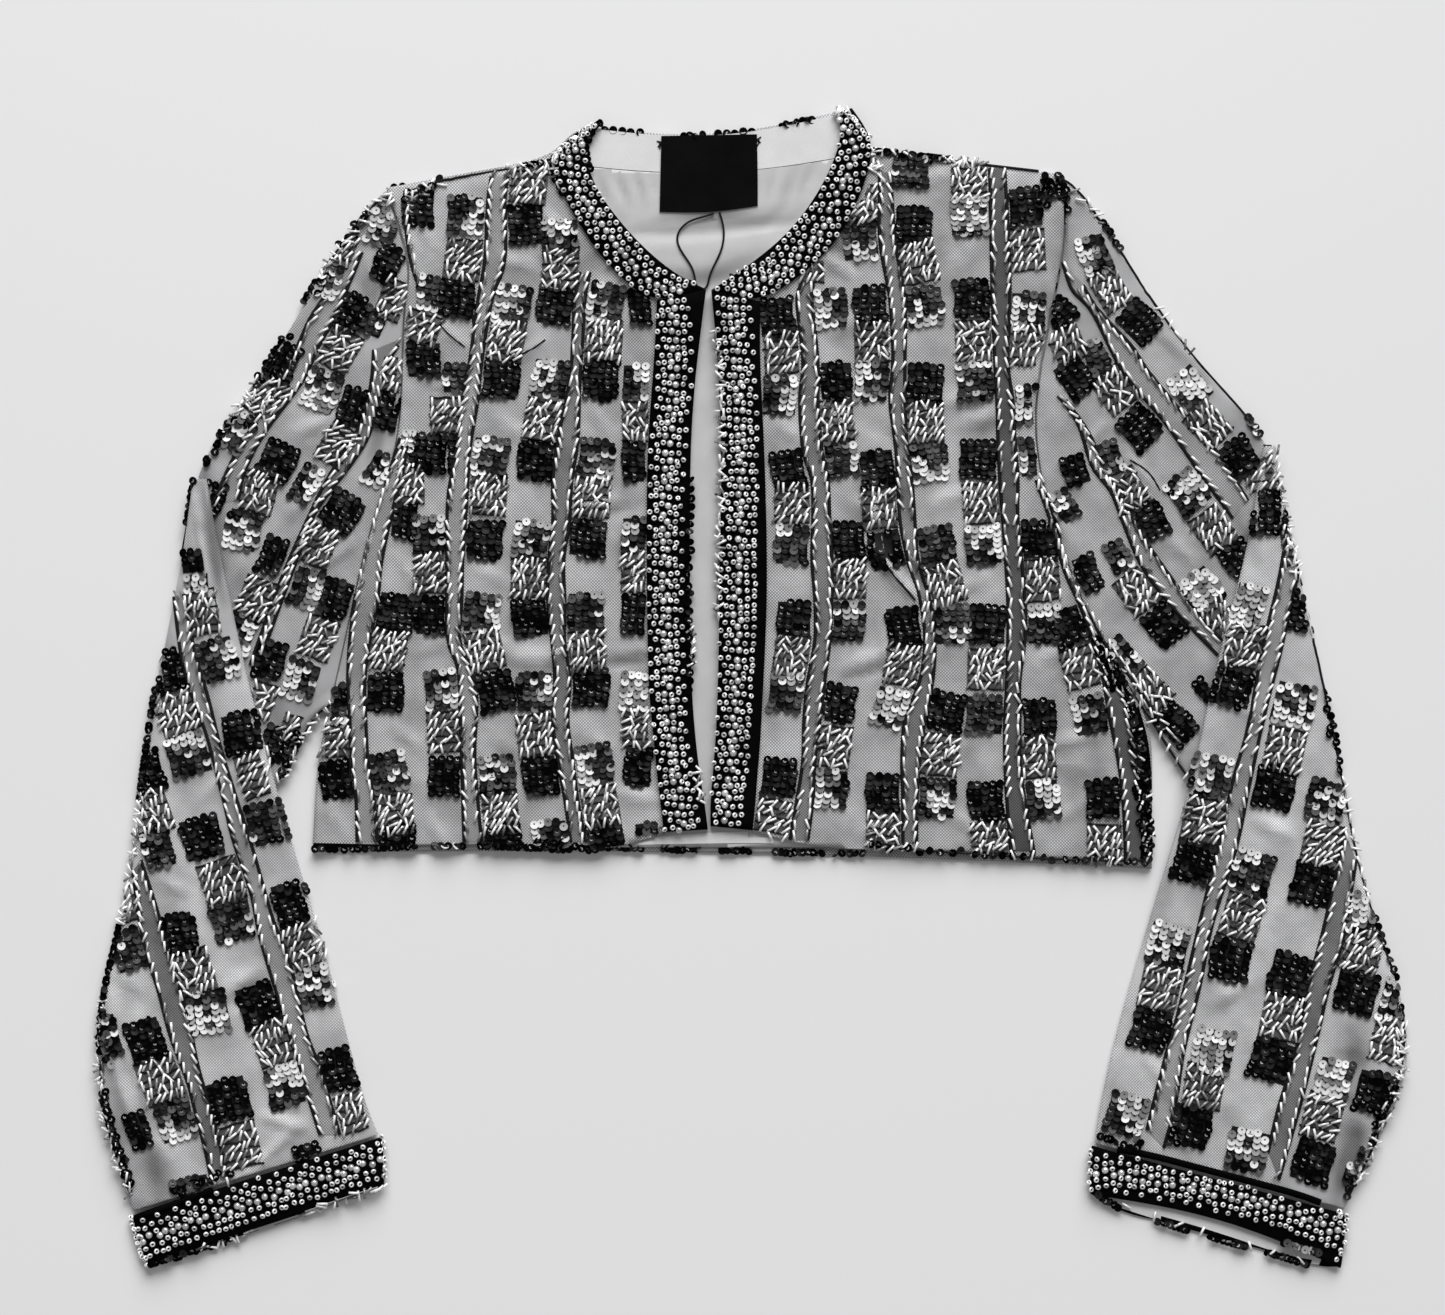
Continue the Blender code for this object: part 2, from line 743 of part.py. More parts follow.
def main():
    """Build the jacket's pieces, from the surface up."""
    for thing in list(bpy.data.objects):
        bpy.data.objects.remove(thing)
    collection = bpy.data.collections.new(COLLECTION)
    bpy.context.scene.collection.children.link(collection)
    net = make_material("beaded_net", NET_GREY, 0.6)
    ribbon = make_material("black_ribbon", RIBBON_BLACK, 0.75)
    lining = make_material("pale_lining", LINING_PALE, 0.5)
    woven = make_material("label_weave", LABEL_BLACK, 0.8)
    make_back(net)
    make_inside(lining)
    make_label(woven)
    make_loop(ribbon)
    make_front("front_left", FRONT_LEFT, net)
    make_front("front_right", FRONT_RIGHT, net)
    make_bands("left", FRONT_LEFT, NECK_TOP_LEFT, ribbon)
    make_bands("right", FRONT_RIGHT, NECK_TOP_RIGHT, ribbon)
    make_upper_sleeve("sleeve_left_upper", FRONT_LEFT, UPPER_LEFT, -1, net)
    make_upper_sleeve("sleeve_right_upper", FRONT_RIGHT, UPPER_RIGHT, 1, net)
    make_lower_sleeve("sleeve_left_lower", LOWER_LEFT, net)
    make_lower_sleeve("sleeve_right_lower", LOWER_RIGHT, net)
    make_cuff("cuff_left", LOWER_LEFT[-1], CUFF_LEFT, ribbon)
    make_cuff("cuff_right", LOWER_RIGHT[-1], CUFF_RIGHT, ribbon)


main()
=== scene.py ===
"""Looks of the beaded jacket, laid flat: net, lining, sequins, beads and light.

Left and right are as seen from above. Sizes are in millimetres. Places on the
garment are in pixels of the photo, u to the right and v down, and at() turns
them into metres in the frame of the solids.
"""

import math
import random
from typing import NamedTuple

import bmesh
import bpy
import numpy as np
from mathutils import Matrix, Vector
from mathutils.bvhtree import BVHTree


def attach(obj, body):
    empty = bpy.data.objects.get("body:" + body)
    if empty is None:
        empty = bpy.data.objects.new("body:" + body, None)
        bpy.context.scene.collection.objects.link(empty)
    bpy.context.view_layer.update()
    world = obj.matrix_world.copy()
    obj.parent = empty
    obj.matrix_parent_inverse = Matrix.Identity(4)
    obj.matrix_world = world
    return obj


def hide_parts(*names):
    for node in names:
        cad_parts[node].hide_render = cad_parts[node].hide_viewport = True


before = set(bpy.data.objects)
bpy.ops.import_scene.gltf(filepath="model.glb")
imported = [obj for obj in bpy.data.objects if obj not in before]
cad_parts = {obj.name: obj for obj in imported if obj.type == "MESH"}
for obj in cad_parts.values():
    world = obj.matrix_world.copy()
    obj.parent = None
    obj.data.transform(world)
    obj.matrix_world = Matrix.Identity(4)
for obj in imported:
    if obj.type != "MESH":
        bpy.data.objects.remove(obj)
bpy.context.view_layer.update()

MM = 0.001
PIXEL = 0.58 * MM
ORIGIN_U = 753.5
ORIGIN_V = 691.5
PHOTO_WIDE = 1445
PHOTO_HIGH = 1315
CAMERA_HEIGHT = 2.2

# Sizes of beads, lines and strips in millimetres.
SEQUIN = 5.0
BUGLE_LONG = 6.2
BUGLE_THICK = 1.45
STONE = 4.3
BEAD_MIDDLE = 1.1
BEAD_RIM = 0.6
BEAD_HALF_HIGH = 0.95
ROD_HALF_WIDE = 0.5
ROD_HALF_HIGH = 0.3
LINE_THICK = 2.2
STRIP_STEP = 5.0
STRIP_LIFT = 0.3
LOWEST_BEAD = 2.6
KNOT_GREY = 0.003

# How creases change the cloth, and how far their painted shade and the painted shades may darken or
# lighten it.
CREASE_DEPTH = 1.35
CREASE_END = 0.45
PAINTED_SHADE_PER_METRE = 60
DARKEST, LIGHTEST = 0.3, 1.3

# Rays start this many metres above the surface, or below it. Beads are laid only where
# the upward part of the cloth's normal is at least STEEPEST.
RAY_START = 0.1
STEEPEST = 0.35

rng = random.Random(11)


def at(u, v):
    """Turn a place in the photo into x and y in metres."""
    return (u - ORIGIN_U) * PIXEL, (ORIGIN_V - v) * PIXEL


def mix(first, second, share):
    """Return the value that lies this share of the way to the second one."""
    return first + (second - first) * share


def soft_step(value):
    """Rise smoothly from 0 to 1 as the value does, flat outside that range."""
    clamped = min(max(value, 0.0), 1.0)
    return clamped * clamped * (3 - 2 * clamped)


# A crease: u0, v0, u1, v1, half its width, and its height in millimetres. One whose
# height is under 0 is a trough.
CREASES = (
    (604, 656, 648, 649, 5.5, 1.7), (606, 666, 650, 660, 5, -0.9), (616, 793, 658, 799, 5.5, 1.4),
    (545, 340, 518, 356, 5, 1.2), (440, 325, 465, 347, 5, 1.2), (416, 212, 432, 244, 5, 1.3),
    (498, 258, 532, 268, 6, 1.3), (540, 264, 578, 272, 6, -1.2), (545, 215, 575, 240, 6.5, 1.5),
    (428, 378, 455, 392, 6, 1.3), (500, 418, 530, 442, 7, 1.3), (590, 398, 612, 442, 8, 1.6),
    (575, 506, 616, 500, 6, 1.5), (600, 518, 642, 505, 5.5, -1), (468, 498, 500, 514, 7, 1.2),
    (540, 502, 528, 470, 6, -0.9), (478, 568, 512, 586, 7, 1.3), (496, 640, 515, 656, 6, 1.5),
    (515, 658, 548, 660, 6, 1.7), (548, 658, 576, 640, 6, 1.4), (505, 626, 560, 632, 9, -1.4),
    (420, 652, 448, 640, 6, 1.1), (395, 728, 421, 746, 6, 1.3), (428, 818, 446, 846, 6, 1.2),
    (498, 738, 520, 756, 7, 1.3), (588, 734, 611, 752, 7, 1.2), (328, 808, 345, 836, 6, 1.1),
    (480, 812, 494, 844, 5, 1.2), (600, 808, 626, 840, 6, 1.4), (452, 440, 446, 500, 6, 1.2),
    (400, 560, 425, 590, 7, 1.4), (866, 540, 918, 600, 5, 2.4), (878, 534, 930, 592, 5, -1.8),
    (885, 470, 908, 520, 6, -1.3), (868, 478, 880, 530, 5.5, 1.6), (835, 332, 872, 310, 8, 1.6),
    (812, 395, 850, 428, 6, 1.6), (820, 392, 858, 424, 5, -1), (870, 424, 906, 447, 6.5, -1),
    (944, 402, 988, 395, 6, 1.6), (958, 424, 1002, 412, 6, 1.3), (778, 424, 802, 442, 6.5, 1.3),
    (848, 498, 882, 522, 7, 1.2), (932, 504, 968, 490, 7, 1.4), (948, 594, 988, 576, 6.5, 1.6),
    (845, 668, 894, 650, 7, 1.8), (850, 680, 896, 664, 5.5, -1.1), (778, 658, 806, 673, 6, 1.3),
    (928, 764, 962, 745, 7, 1.4), (1038, 664, 1072, 640, 6, 1.6), (1046, 746, 1092, 735, 7, 1.8),
    (1056, 764, 1102, 771, 6, 1.4), (1092, 640, 1126, 700, 6, -1.4), (982, 228, 964, 264, 8, 1.4),
    (914, 182, 952, 172, 7, 1.2), (928, 238, 948, 264, 7, 1.3), (818, 250, 852, 276, 7, 1.8),
    (826, 244, 858, 266, 6, -1.3), (858, 838, 888, 814, 6, 1.3), (948, 812, 978, 832, 6, 1.2),
    (1058, 822, 1088, 798, 6, 1.4), (370, 256, 371, 300, 5, 1.6), (378, 262, 379, 304, 4.5, -1.2),
    (352, 288, 356, 332, 5.5, 1.4), (298, 432, 332, 418, 7, 1.6), (350, 546, 328, 562, 6, 1.6),
    (284, 522, 302, 498, 6.5, 1.4), (300, 724, 346, 690, 6, 1.9), (308, 742, 352, 708, 6, 1.7),
    (306, 734, 350, 700, 4.5, -1.2), (242, 556, 224, 592, 7, 1.4), (381, 428, 372, 464, 5, -1.2),
    (220, 470, 206, 520, 6, 1.5), (226, 992, 258, 968, 8, 1.9), (232, 1004, 262, 984, 6, -1.2),
    (148, 1138, 178, 1162, 8, 0.5), (240, 1182, 300, 1122, 6.5, 1.7), (262, 1116, 304, 1128, 6, 1.5),
    (204, 796, 228, 774, 6.5, 1.3), (160, 880, 188, 892, 6, 1.2), (118, 986, 140, 1004, 7, -1.4),
    (118, 1056, 152, 1132, 7, -1.6), (108, 1040, 138, 1130, 6, 1.6), (176, 640, 186, 700, 5.5, 1.3),
    (196, 500, 215, 610, 5, 1.6), (1049, 300, 1054, 338, 5, -1.5), (1062, 198, 1068, 252, 6, 1.6),
    (1084, 446, 1104, 424, 5, 1.3), (1130, 458, 1160, 492, 5, 1.3), (1060, 518, 1078, 562, 6, 1.8),
    (1100, 650, 1138, 692, 6, 2.2), (1110, 642, 1146, 682, 5, -1.3), (1168, 538, 1194, 562, 7, 1.4),
    (1160, 330, 1188, 356, 7, 1.2), (1328, 1108, 1398, 1150, 8, 0.6), (1338, 1098, 1400, 1132, 6, -1.3),
    (1372, 1080, 1388, 1180, 7, -1.6), (1212, 1004, 1244, 984, 8, 1.5), (1256, 820, 1292, 836, 8, 1.6),
    (1178, 1096, 1148, 1060, 7, 1.4), (1300, 500, 1310, 600, 6, 1.7), (1352, 860, 1372, 930, 6, 1.5),
    (1160, 1120, 1192, 1150, 6, 1.3), (1236, 700, 1262, 722, 6.5, 1.4),
)

LINING_CREASES = (
    (634, 247, 700, 242, 6.5, 0.3), (700, 242, 800, 232, 6.5, 0.3), (640, 234, 700, 231, 5, -0.9),
    (700, 231, 790, 221, 5, -0.9), (664, 222, 745, 217, 5.5, -1.1), (618, 240, 660, 222, 6, -0.7),
    (636, 266, 700, 288, 9, -1), (700, 286, 766, 258, 9, -0.9), (597, 174, 606, 204, 4.5, -0.9),
    (616, 174, 628, 206, 5, -0.9), (634, 172, 640, 198, 3.8, -0.7), (652, 172, 654, 196, 3.8, -0.7),
    (773, 172, 766, 198, 3.8, -0.7), (796, 168, 784, 204, 5, -0.9), (814, 162, 802, 192, 4.5, -0.8),
    (785, 205, 765, 226, 5.5, -0.7),
)

# A painted shade is placed like a crease; its last number is the share by which it paints
# the cloth lighter on ridges, or darker in folds and hollows where it is under 0.
PAINTED_SHADES = (
    (520, 285, 552, 262, 13, -0.3), (572, 262, 606, 262, 11, -0.3), (868, 168, 838, 252, 12, -0.35),
    (424, 385, 440, 350, 10, -0.25), (975, 432, 996, 424, 7, -0.4), (964, 420, 992, 412, 5, 0.25),
    (1112, 640, 1140, 700, 9, -0.35), (1092, 700, 1100, 780, 8, -0.2), (1068, 760, 1100, 768, 6, -0.35),
    (878, 536, 930, 594, 5, -0.4), (866, 540, 918, 600, 4, 0.25), (600, 660, 648, 654, 5, -0.25),
    (505, 632, 560, 636, 7, -0.35), (500, 648, 560, 652, 6, 0.2), (372, 262, 376, 310, 6, -0.3),
    (381, 428, 370, 470, 7, -0.35), (296, 400, 316, 380, 8, -0.2), (316, 510, 350, 560, 9, -0.2),
    (262, 640, 284, 770, 12, -0.4), (300, 726, 332, 700, 10, -0.35), (216, 500, 240, 600, 9, -0.25),
    (236, 560, 262, 640, 8, -0.25), (207, 870, 214, 950, 9, -0.25), (236, 1080, 262, 1120, 9, -0.2),
    (340, 1120, 376, 1126, 12, -0.25), (112, 1060, 130, 1160, 11, -0.45),
    (138, 1110, 160, 1190, 12, -0.4), (204, 480, 262, 720, 6, -0.2), (150, 1150, 170, 1200, 13, -0.35),
    (240, 760, 300, 1060, 26, -0.12), (160, 840, 200, 1080, 26, -0.12), (420, 590, 444, 650, 10, -0.35),
    (530, 600, 548, 640, 8, -0.35), (548, 655, 566, 690, 7, -0.35), (600, 540, 640, 560, 8, -0.25),
    (330, 560, 350, 630, 9, -0.2), (806, 560, 826, 600, 8, -0.2), (880, 640, 898, 690, 8, -0.25),
    (762, 690, 776, 740, 8, -0.3), (930, 720, 944, 780, 9, -0.15), (1056, 640, 1070, 700, 8, -0.2),
    (316, 960, 372, 1120, 14, -0.18), (200, 470, 222, 580, 8, -0.3), (288, 730, 300, 810, 12, -0.25),
    (1165, 740, 1180, 800, 8, -0.3), (1158, 850, 1166, 885, 8, -0.2),
    (1352, 1034, 1362, 1062, 9, -0.25), (1358, 1126, 1346, 1180, 10, -0.4),
    (1196, 362, 1210, 392, 8, -0.25), (1058, 252, 1066, 284, 7, -0.3), (1258, 424, 1250, 448, 8, -0.3),
    (208, 530, 224, 604, 6, -0.55), (1366, 1118, 1336, 1206, 8, -0.45),
    (1344, 1020, 1350, 1062, 16, -0.22), (1240, 402, 1262, 436, 8, -0.45),
    (518, 215, 560, 275, 9, -0.3), (438, 352, 448, 398, 7, -0.4), (892, 168, 900, 208, 7, -0.3),
    (934, 235, 946, 258, 7, -0.3), (1004, 300, 1000, 326, 7, -0.35), (1206, 690, 1222, 640, 7, -0.25),
    (1190, 875, 1200, 930, 8, -0.12), (268, 1075, 276, 1120, 8, -0.15), (632, 520, 622, 560, 9, -0.25),
    (640, 660, 640, 700, 8, -0.25), (702, 770, 706, 800, 6, -0.2), (1078, 540, 1084, 570, 8, -0.25),
    (300, 760, 306, 800, 8, -0.25), (318, 970, 324, 1010, 9, -0.25), (120, 990, 132, 1010, 7, -0.3),
    (1300, 885, 1276, 930, 8, -0.2), (1330, 1030, 1358, 1040, 9, 0.15),
    (1330, 1052, 1366, 1060, 7, -0.35), (1344, 1120, 1332, 1196, 14, -0.5),
    (1362, 1040, 1350, 1130, 12, -0.4), (1300, 1150, 1282, 1190, 8, -0.2),
    (1216, 1110, 1244, 1130, 9, -0.25), (1150, 740, 1184, 776, 8, -0.3),
    (1112, 452, 1120, 500, 7, -0.3), (1228, 500, 1256, 560, 7, -0.35), (1046, 290, 1062, 350, 7, -0.35),
    (1062, 198, 1068, 252, 6, -0.3), (1060, 518, 1078, 562, 6, -0.3), (1172, 870, 1156, 930, 9, -0.2),
)

# Painted shade under the label, in the lining's gathers and low in its V, and painted light along its
# ridge.
LINING_PAINTED_SHADES = (
    (660, 221, 796, 212, 9, -0.3), (664, 229, 792, 221, 6.5, -0.25), (640, 246, 800, 237, 7, 0.16),
    (690, 276, 766, 262, 13, -0.32), (672, 276, 736, 276, 9, -0.3), (606, 196, 628, 222, 9, -0.12),
    (600, 180, 606, 204, 4, -0.1), (620, 178, 630, 208, 4.5, -0.12), (640, 176, 646, 206, 4, -0.1),
    (640, 236, 656, 226, 6, -0.12), (790, 172, 782, 206, 6, -0.12), (808, 168, 798, 196, 5, -0.1),
    (772, 176, 766, 204, 4, -0.1),
)


def crease_heights(x, y, creases):
    """Return how far the creases move the cloth up at many places, in metres."""
    total = np.zeros(len(x))
    for u0, v0, u1, v1, half_width, height in creases:
        x0, y0 = at(u0, v0)
        x1, y1 = at(u1, v1)
        run_x, run_y = x1 - x0, y1 - y0
        along = ((x - x0) * run_x + (y - y0) * run_y) / (run_x ** 2 + run_y ** 2)
        held = np.clip(along, 0.0, 1.0)
        distance = np.hypot(x - x0 - held * run_x, y - y0 - held * run_y) / MM
        swell = 0.5 + 0.5 * np.cos(np.pi * np.minimum(distance / half_width, 1.0))
        total += height * swell * (CREASE_END + (1 - CREASE_END) * np.sin(np.pi * held))
    return total * MM


def shader(name, colour=0.5, roughness=0.6, metallic=0.0, coat=0.0, sheen=0.0, shine=0.5):
    """Make a grey material and return it with its nodes, links and shader."""
    material = bpy.data.materials.new(name)
    material.use_nodes = True
    nodes = material.node_tree.nodes
    links = material.node_tree.links
    bsdf = nodes["Principled BSDF"]
    bsdf.inputs["Base Color"].default_value = (colour, colour, colour * 1.01, 1)
    bsdf.inputs["Roughness"].default_value = roughness
    bsdf.inputs["Metallic"].default_value = metallic
    bsdf.inputs["Coat Weight"].default_value = coat
    bsdf.inputs["Sheen Weight"].default_value = sheen
    bsdf.inputs["Specular IOR Level"].default_value = shine
    return material, nodes, links, bsdf


def place_input(nodes, links, turn=0.0):
    """Return a socket with the place on the garment, turned and in millimetres."""
    where = nodes.new("ShaderNodeTexCoord")
    mapping = nodes.new("ShaderNodeMapping")
    mapping.inputs["Rotation"].default_value[2] = math.radians(turn)
    mapping.inputs["Scale"].default_value = (1 / MM,) * 3
    links.new(where.outputs["Object"], mapping.inputs["Vector"])
    return mapping.outputs["Vector"]


def calc(nodes, links, kind, first, second=None):
    """Add a math node on sockets or numbers, and return its result."""
    node = nodes.new("ShaderNodeMath")
    node.operation = kind
    for index, value in enumerate((first, second)):
        if value is None:
            continue
        if isinstance(value, (int, float)):
            node.inputs[index].default_value = value
        else:
            links.new(value, node.inputs[index])
    return node.outputs[0]


def grey_ramp(nodes, links, value, low, high, start=0.0, end=1.0):
    """Turn a value into a grey from low to high, and return its socket."""
    ramp = nodes.new("ShaderNodeValToRGB")
    ramp.color_ramp.elements[0].position = start
    ramp.color_ramp.elements[1].position = end
    ramp.color_ramp.elements[0].color = (low, low, low * 1.01, 1)
    ramp.color_ramp.elements[1].color = (high, high, high * 1.01, 1)
    links.new(value, ramp.inputs["Fac"])
    return ramp.outputs["Color"]


def noise(nodes, links, place, size, detail=3.0):
    """Return cloudy noise whose blots are about this many millimetres across."""
    node = nodes.new("ShaderNodeTexNoise")
    node.inputs["Scale"].default_value = 1.0 / size
    node.inputs["Detail"].default_value = detail
    links.new(place, node.inputs["Vector"])
    return node.outputs["Fac"]


def bump(nodes, links, bsdf, height, distance, strength):
    """Raise a surface's shading by a value, this many millimetres at the most."""
    node = nodes.new("ShaderNodeBump")
    node.inputs["Strength"].default_value = strength
    node.inputs["Distance"].default_value = distance * MM
    links.new(height, node.inputs["Height"])
    links.new(node.outputs["Normal"], bsdf.inputs["Normal"])


def multiply(nodes, links, first, second):
    """Return the product of two colours."""
    node = nodes.new("ShaderNodeMix")
    node.data_type = "RGBA"
    node.blend_type = "MULTIPLY"
    node.inputs["Factor"].default_value = 1.0
    links.new(first, node.inputs["A"])
    links.new(second, node.inputs["B"])
    return node.outputs["Result"]


def thread_waves(nodes, links, place, step):
    """Return a wave across and one along; their phase grows by step in a millimetre."""
    split = nodes.new("ShaderNodeSeparateXYZ")
    links.new(place, split.inputs["Vector"])
    for axis in ("X", "Y"):
        phase = calc(nodes, links, "MULTIPLY", split.outputs[axis], step)
        yield calc(nodes, links, "SINE", phase)


def stored_grey(nodes, name):
    """Return the grey that is stored at each point of the mesh under a name."""
    node = nodes.new("ShaderNodeAttribute")
    node.attribute_name = name
    return node.outputs["Color"]


def net_material(name, thread, cloth, pitch, spread, painted_fold_shade=False):
    """Make fine dark net over a paler cloth, its grey spread by soft clouds.

    With painted_fold_shade it is also painted darker or lighter by the shade and light stored in its
    mesh.
    """
    material, nodes, links, bsdf = shader(name, roughness=0.62, sheen=0.15)
    place = place_input(nodes, links, turn=45.0)
    rays = [
        calc(nodes, links, "ABSOLUTE", wave)
        for wave in thread_waves(nodes, links, place, math.pi / pitch)
    ]
    hole = calc(nodes, links, "MINIMUM", *rays)
    mesh = grey_ramp(nodes, links, hole, thread, cloth, start=0.22, end=0.62)
    cloud = noise(nodes, links, place, size=26.0)
    shade = grey_ramp(nodes, links, cloud, 1 - spread, 1 + spread, start=0.3, end=0.7)
    grey = multiply(nodes, links, mesh, shade)
    if painted_fold_shade:
        grey = multiply(nodes, links, grey, stored_grey(nodes, "shade"))
    links.new(grey, bsdf.inputs["Base Color"])
    pucker = noise(nodes, links, place, size=7.0, detail=2.0)
    height = calc(nodes, links, "SUBTRACT", pucker, calc(nodes, links, "MULTIPLY", hole, 0.12))
    bump(nodes, links, bsdf, height, distance=0.9, strength=0.5)
    return material


def woven_material(name, colour, pitch, roughness, relief, spread, sheen, shine, painted_fold_shade=False):
    """Make a plain woven cloth, with threads this many millimetres apart.

    With painted_fold_shade it is also painted darker or lighter by the shade and light stored in its
    mesh.
    """
    material, nodes, links, bsdf = shader(name, colour, roughness, sheen=sheen, shine=shine)
    place = place_input(nodes, links)
    waves = thread_waves(nodes, links, place, 2 * math.pi / pitch)
    weave = calc(nodes, links, "MULTIPLY", *waves)
    cloud = noise(nodes, links, place, size=18.0)
    tint = calc(nodes, links, "ADD", cloud, calc(nodes, links, "MULTIPLY", weave, 0.12))
    low, high = colour * (1 - spread), colour * (1 + spread)
    shade = grey_ramp(nodes, links, tint, low, high, start=0.3, end=0.7)
    if painted_fold_shade:
        shade = multiply(nodes, links, shade, stored_grey(nodes, "shade"))
    links.new(shade, bsdf.inputs["Base Color"])
    bump(nodes, links, bsdf, weave, relief, strength=0.6)
    return material


def toned_material(name, roughness, metallic, coat, shine):
    """Make a material whose grey comes from each bead's own tone."""
    material, nodes, links, bsdf = shader(name, 0.5, roughness, metallic, coat, shine=shine)
    links.new(stored_grey(nodes, "tone"), bsdf.inputs["Base Color"])
    return material


NET = net_material("fine_net", 0.1, 0.6, pitch=1.28, spread=0.26, painted_fold_shade=True)
NET_UPPER = net_material("upper_sleeve_net", 0.11, 0.56, pitch=1.2, spread=0.24, painted_fold_shade=True)
NET_LOWER = net_material("lower_sleeve_net", 0.18, 0.71, pitch=1.2, spread=0.24, painted_fold_shade=True)
NET_PALE = net_material("pale_channel_net", 0.06, 0.44, pitch=1.2, spread=0.25)
NET_DARK = net_material("channel_net", 0.03, 0.25, pitch=1.2, spread=0.35)
NET_BLACK = net_material("dark_channel_net", 0.01, 0.11, pitch=1.2, spread=0.35)
NET_SHADED = net_material("block_net", 0.02, 0.11, pitch=1.28, spread=0.3)
# Name, grey, pitch, roughness, relief, spread, sheen and shine.
RIBBON = woven_material("black_ribbon_weave", 0.002, 0.9, 0.85, 0.15, 0.3, 0.0, 0.02)
LINING = woven_material("satin_lining", 0.54, 0.4, 0.42, 0.03, 0.06, 0.2, 0.4, painted_fold_shade=True)
FACING = woven_material("facing_cloth", 0.72, 0.6, 0.6, 0.08, 0.05, 0.2, 0.4)
LABEL = woven_material("label_cloth", 0.003, 0.5, 0.8, 0.12, 0.3, 0.0, 0.05)
CORD = shader("black_cord_twist", 0.005, 0.6, shine=0.2)[0]
# Name, roughness, metallic, coat and shine.
SEQUINS = toned_material("sequin_foil", 0.25, 0.0, 0.0, 0.03)
BUGLES = toned_material("bugle_glass", 0.2, 0.15, 0.3, 0.5)
BEADS = toned_material("bead_glass", 0.14, 0.25, 0.4, 0.7)
STONES = toned_material("cut_stone", 0.05, 0.6, 0.4, 0.6)

# Edges turned more than RIM_ANGLE stay sharp while a form is rounded off, and faces whose
# normal points up more than UPWARD are cut into a grid, with its lines so far apart.
RIM_ANGLE = math.radians(50)
SHARP_ANGLE = math.radians(55)
UPWARD = 0.4
CREASE_GRID = 3.8
LINING_GRID = 2.6
LINING_GRID_END = 330

# Creases lift a tube from this share of its height on, fully so much farther up, but not
# where the tube is thinner than THIN_TUBE. Raised cloth starts SQUASHED_TO up.
THIN_TUBE = 1.5
LIFT_FROM = 0.35
LIFT_OVER = 0.4
SQUASHED_TO = 1.0
DOWN = Vector((0, 0, -1))
UP = Vector((0, 0, 1))


def quad_shape(node, flat_piece):
    """Copy a solid's mesh, with its triangles joined in pairs and its rim marked."""
    shape = bmesh.new()
    shape.from_mesh(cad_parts[node].data)
    bmesh.ops.remove_doubles(shape, verts=shape.verts, dist=1e-6)
    bmesh.ops.join_triangles(
        shape,
        faces=shape.faces,
        angle_face_threshold=math.radians(35),
        angle_shape_threshold=math.radians(70),
    )
    layer = shape.edges.layers.float.new("crease_edge")
    if flat_piece:
        for edge in shape.edges:
            if edge.calc_face_angle(0.0) > RIM_ANGLE:
                edge[layer] = 1.0
    return shape


def cut_finer(mesh, pitch, lowest_y=-1.0):
    """Cut a mesh's upper side above lowest_y into a grid, to shape creases in it."""
    shape = bmesh.new()
    shape.from_mesh(mesh)
    for axis in (0, 1):
        places = [vertex.co[axis] for vertex in shape.verts]
        start = max(min(places), lowest_y) if axis == 1 else min(places)
        cut_at = Vector((0, 0, 0))
        across = Vector((0, 0, 0))
        across[axis] = 1.0
        faces = [face for face in shape.faces if face.normal.z > UPWARD]
        for step in range(1, int((max(places) - start) / (pitch * MM)) + 1):
            cut_at[axis] = start + step * pitch * MM
            edges = {edge for face in faces for edge in face.edges}
            corners = {vertex for face in faces for vertex in face.verts}
            made = bmesh.ops.bisect_plane(
                shape, geom=[*faces, *edges, *corners], dist=1e-7, plane_co=cut_at, plane_no=across
            )
            faces = [thing for thing in made["geom"] if isinstance(thing, bmesh.types.BMFace)]
            faces = [face for face in faces if face.calc_center_median()[axis] > cut_at[axis]]
    shape.to_mesh(mesh)
    shape.free()


def tree_of(thing):
    """Return the ray tree of an object's mesh."""
    vertices = [vertex.co for vertex in thing.data.vertices]
    polygons = [tuple(polygon.vertices) for polygon in thing.data.polygons]
    return BVHTree.FromPolygons(vertices, polygons)


def finished(thing, slot, node=None):
    """Let a piece ride with the jacket and stand for its node; slot is not used."""
    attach(thing, "root")
    if node:
        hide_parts(node)
    return thing


def store_greys(mesh, name, greys):
    """Store a grey for each point of a mesh, under a name."""
    layer = mesh.color_attributes.new(name, "FLOAT_COLOR", "POINT")
    colours = np.ones((len(greys), 4), np.float32)
    colours[:, :3] = np.asarray(greys, np.float32)[:, None]
    layer.data.foreach_set("color", colours.ravel())


def smoothed(name, node, levels, tube):
    """Make an object on a solid's form, with its faces rounded off."""
    shape = quad_shape(node, not tube)
    mesh = bpy.data.meshes.new(name)
    shape.to_mesh(mesh)
    shape.free()
    thing = bpy.data.objects.new(name, mesh)
    bpy.context.scene.collection.objects.link(thing)
    smoother = thing.modifiers.new("smooth", "SUBSURF")
    smoother.levels = levels
    smoother.render_levels = levels
    smoother.boundary_smooth = "PRESERVE_CORNERS"
    evaluated = thing.evaluated_get(bpy.context.evaluated_depsgraph_get())
    fine = bpy.data.meshes.new_from_object(evaluated)
    thing.modifiers.clear()
    thing.data = fine
    fine.name = name
    bpy.data.meshes.remove(mesh)
    return thing


def creases_on(node):
    """Return the creases of a solid's cloth; bands, cuffs and small pieces have none."""
    if node.startswith(("front", "sleeve")):
        return CREASES
    return LINING_CREASES if node == "lining_back" else ()


def lift_share(tree, x, y, z):
    """Return how much of a crease a point of a tube takes: all on top, none below."""
    low = tree.ray_cast(Vector((x, y, -1)), UP)[0]
    high = tree.ray_cast(Vector((x, y, 1)), DOWN)[0]
    if low is None or high is None or high.z - low.z < THIN_TUBE * MM:
        return 0.0
    return soft_step(((z - low.z) / (high.z - low.z) - LIFT_FROM) / LIFT_OVER)


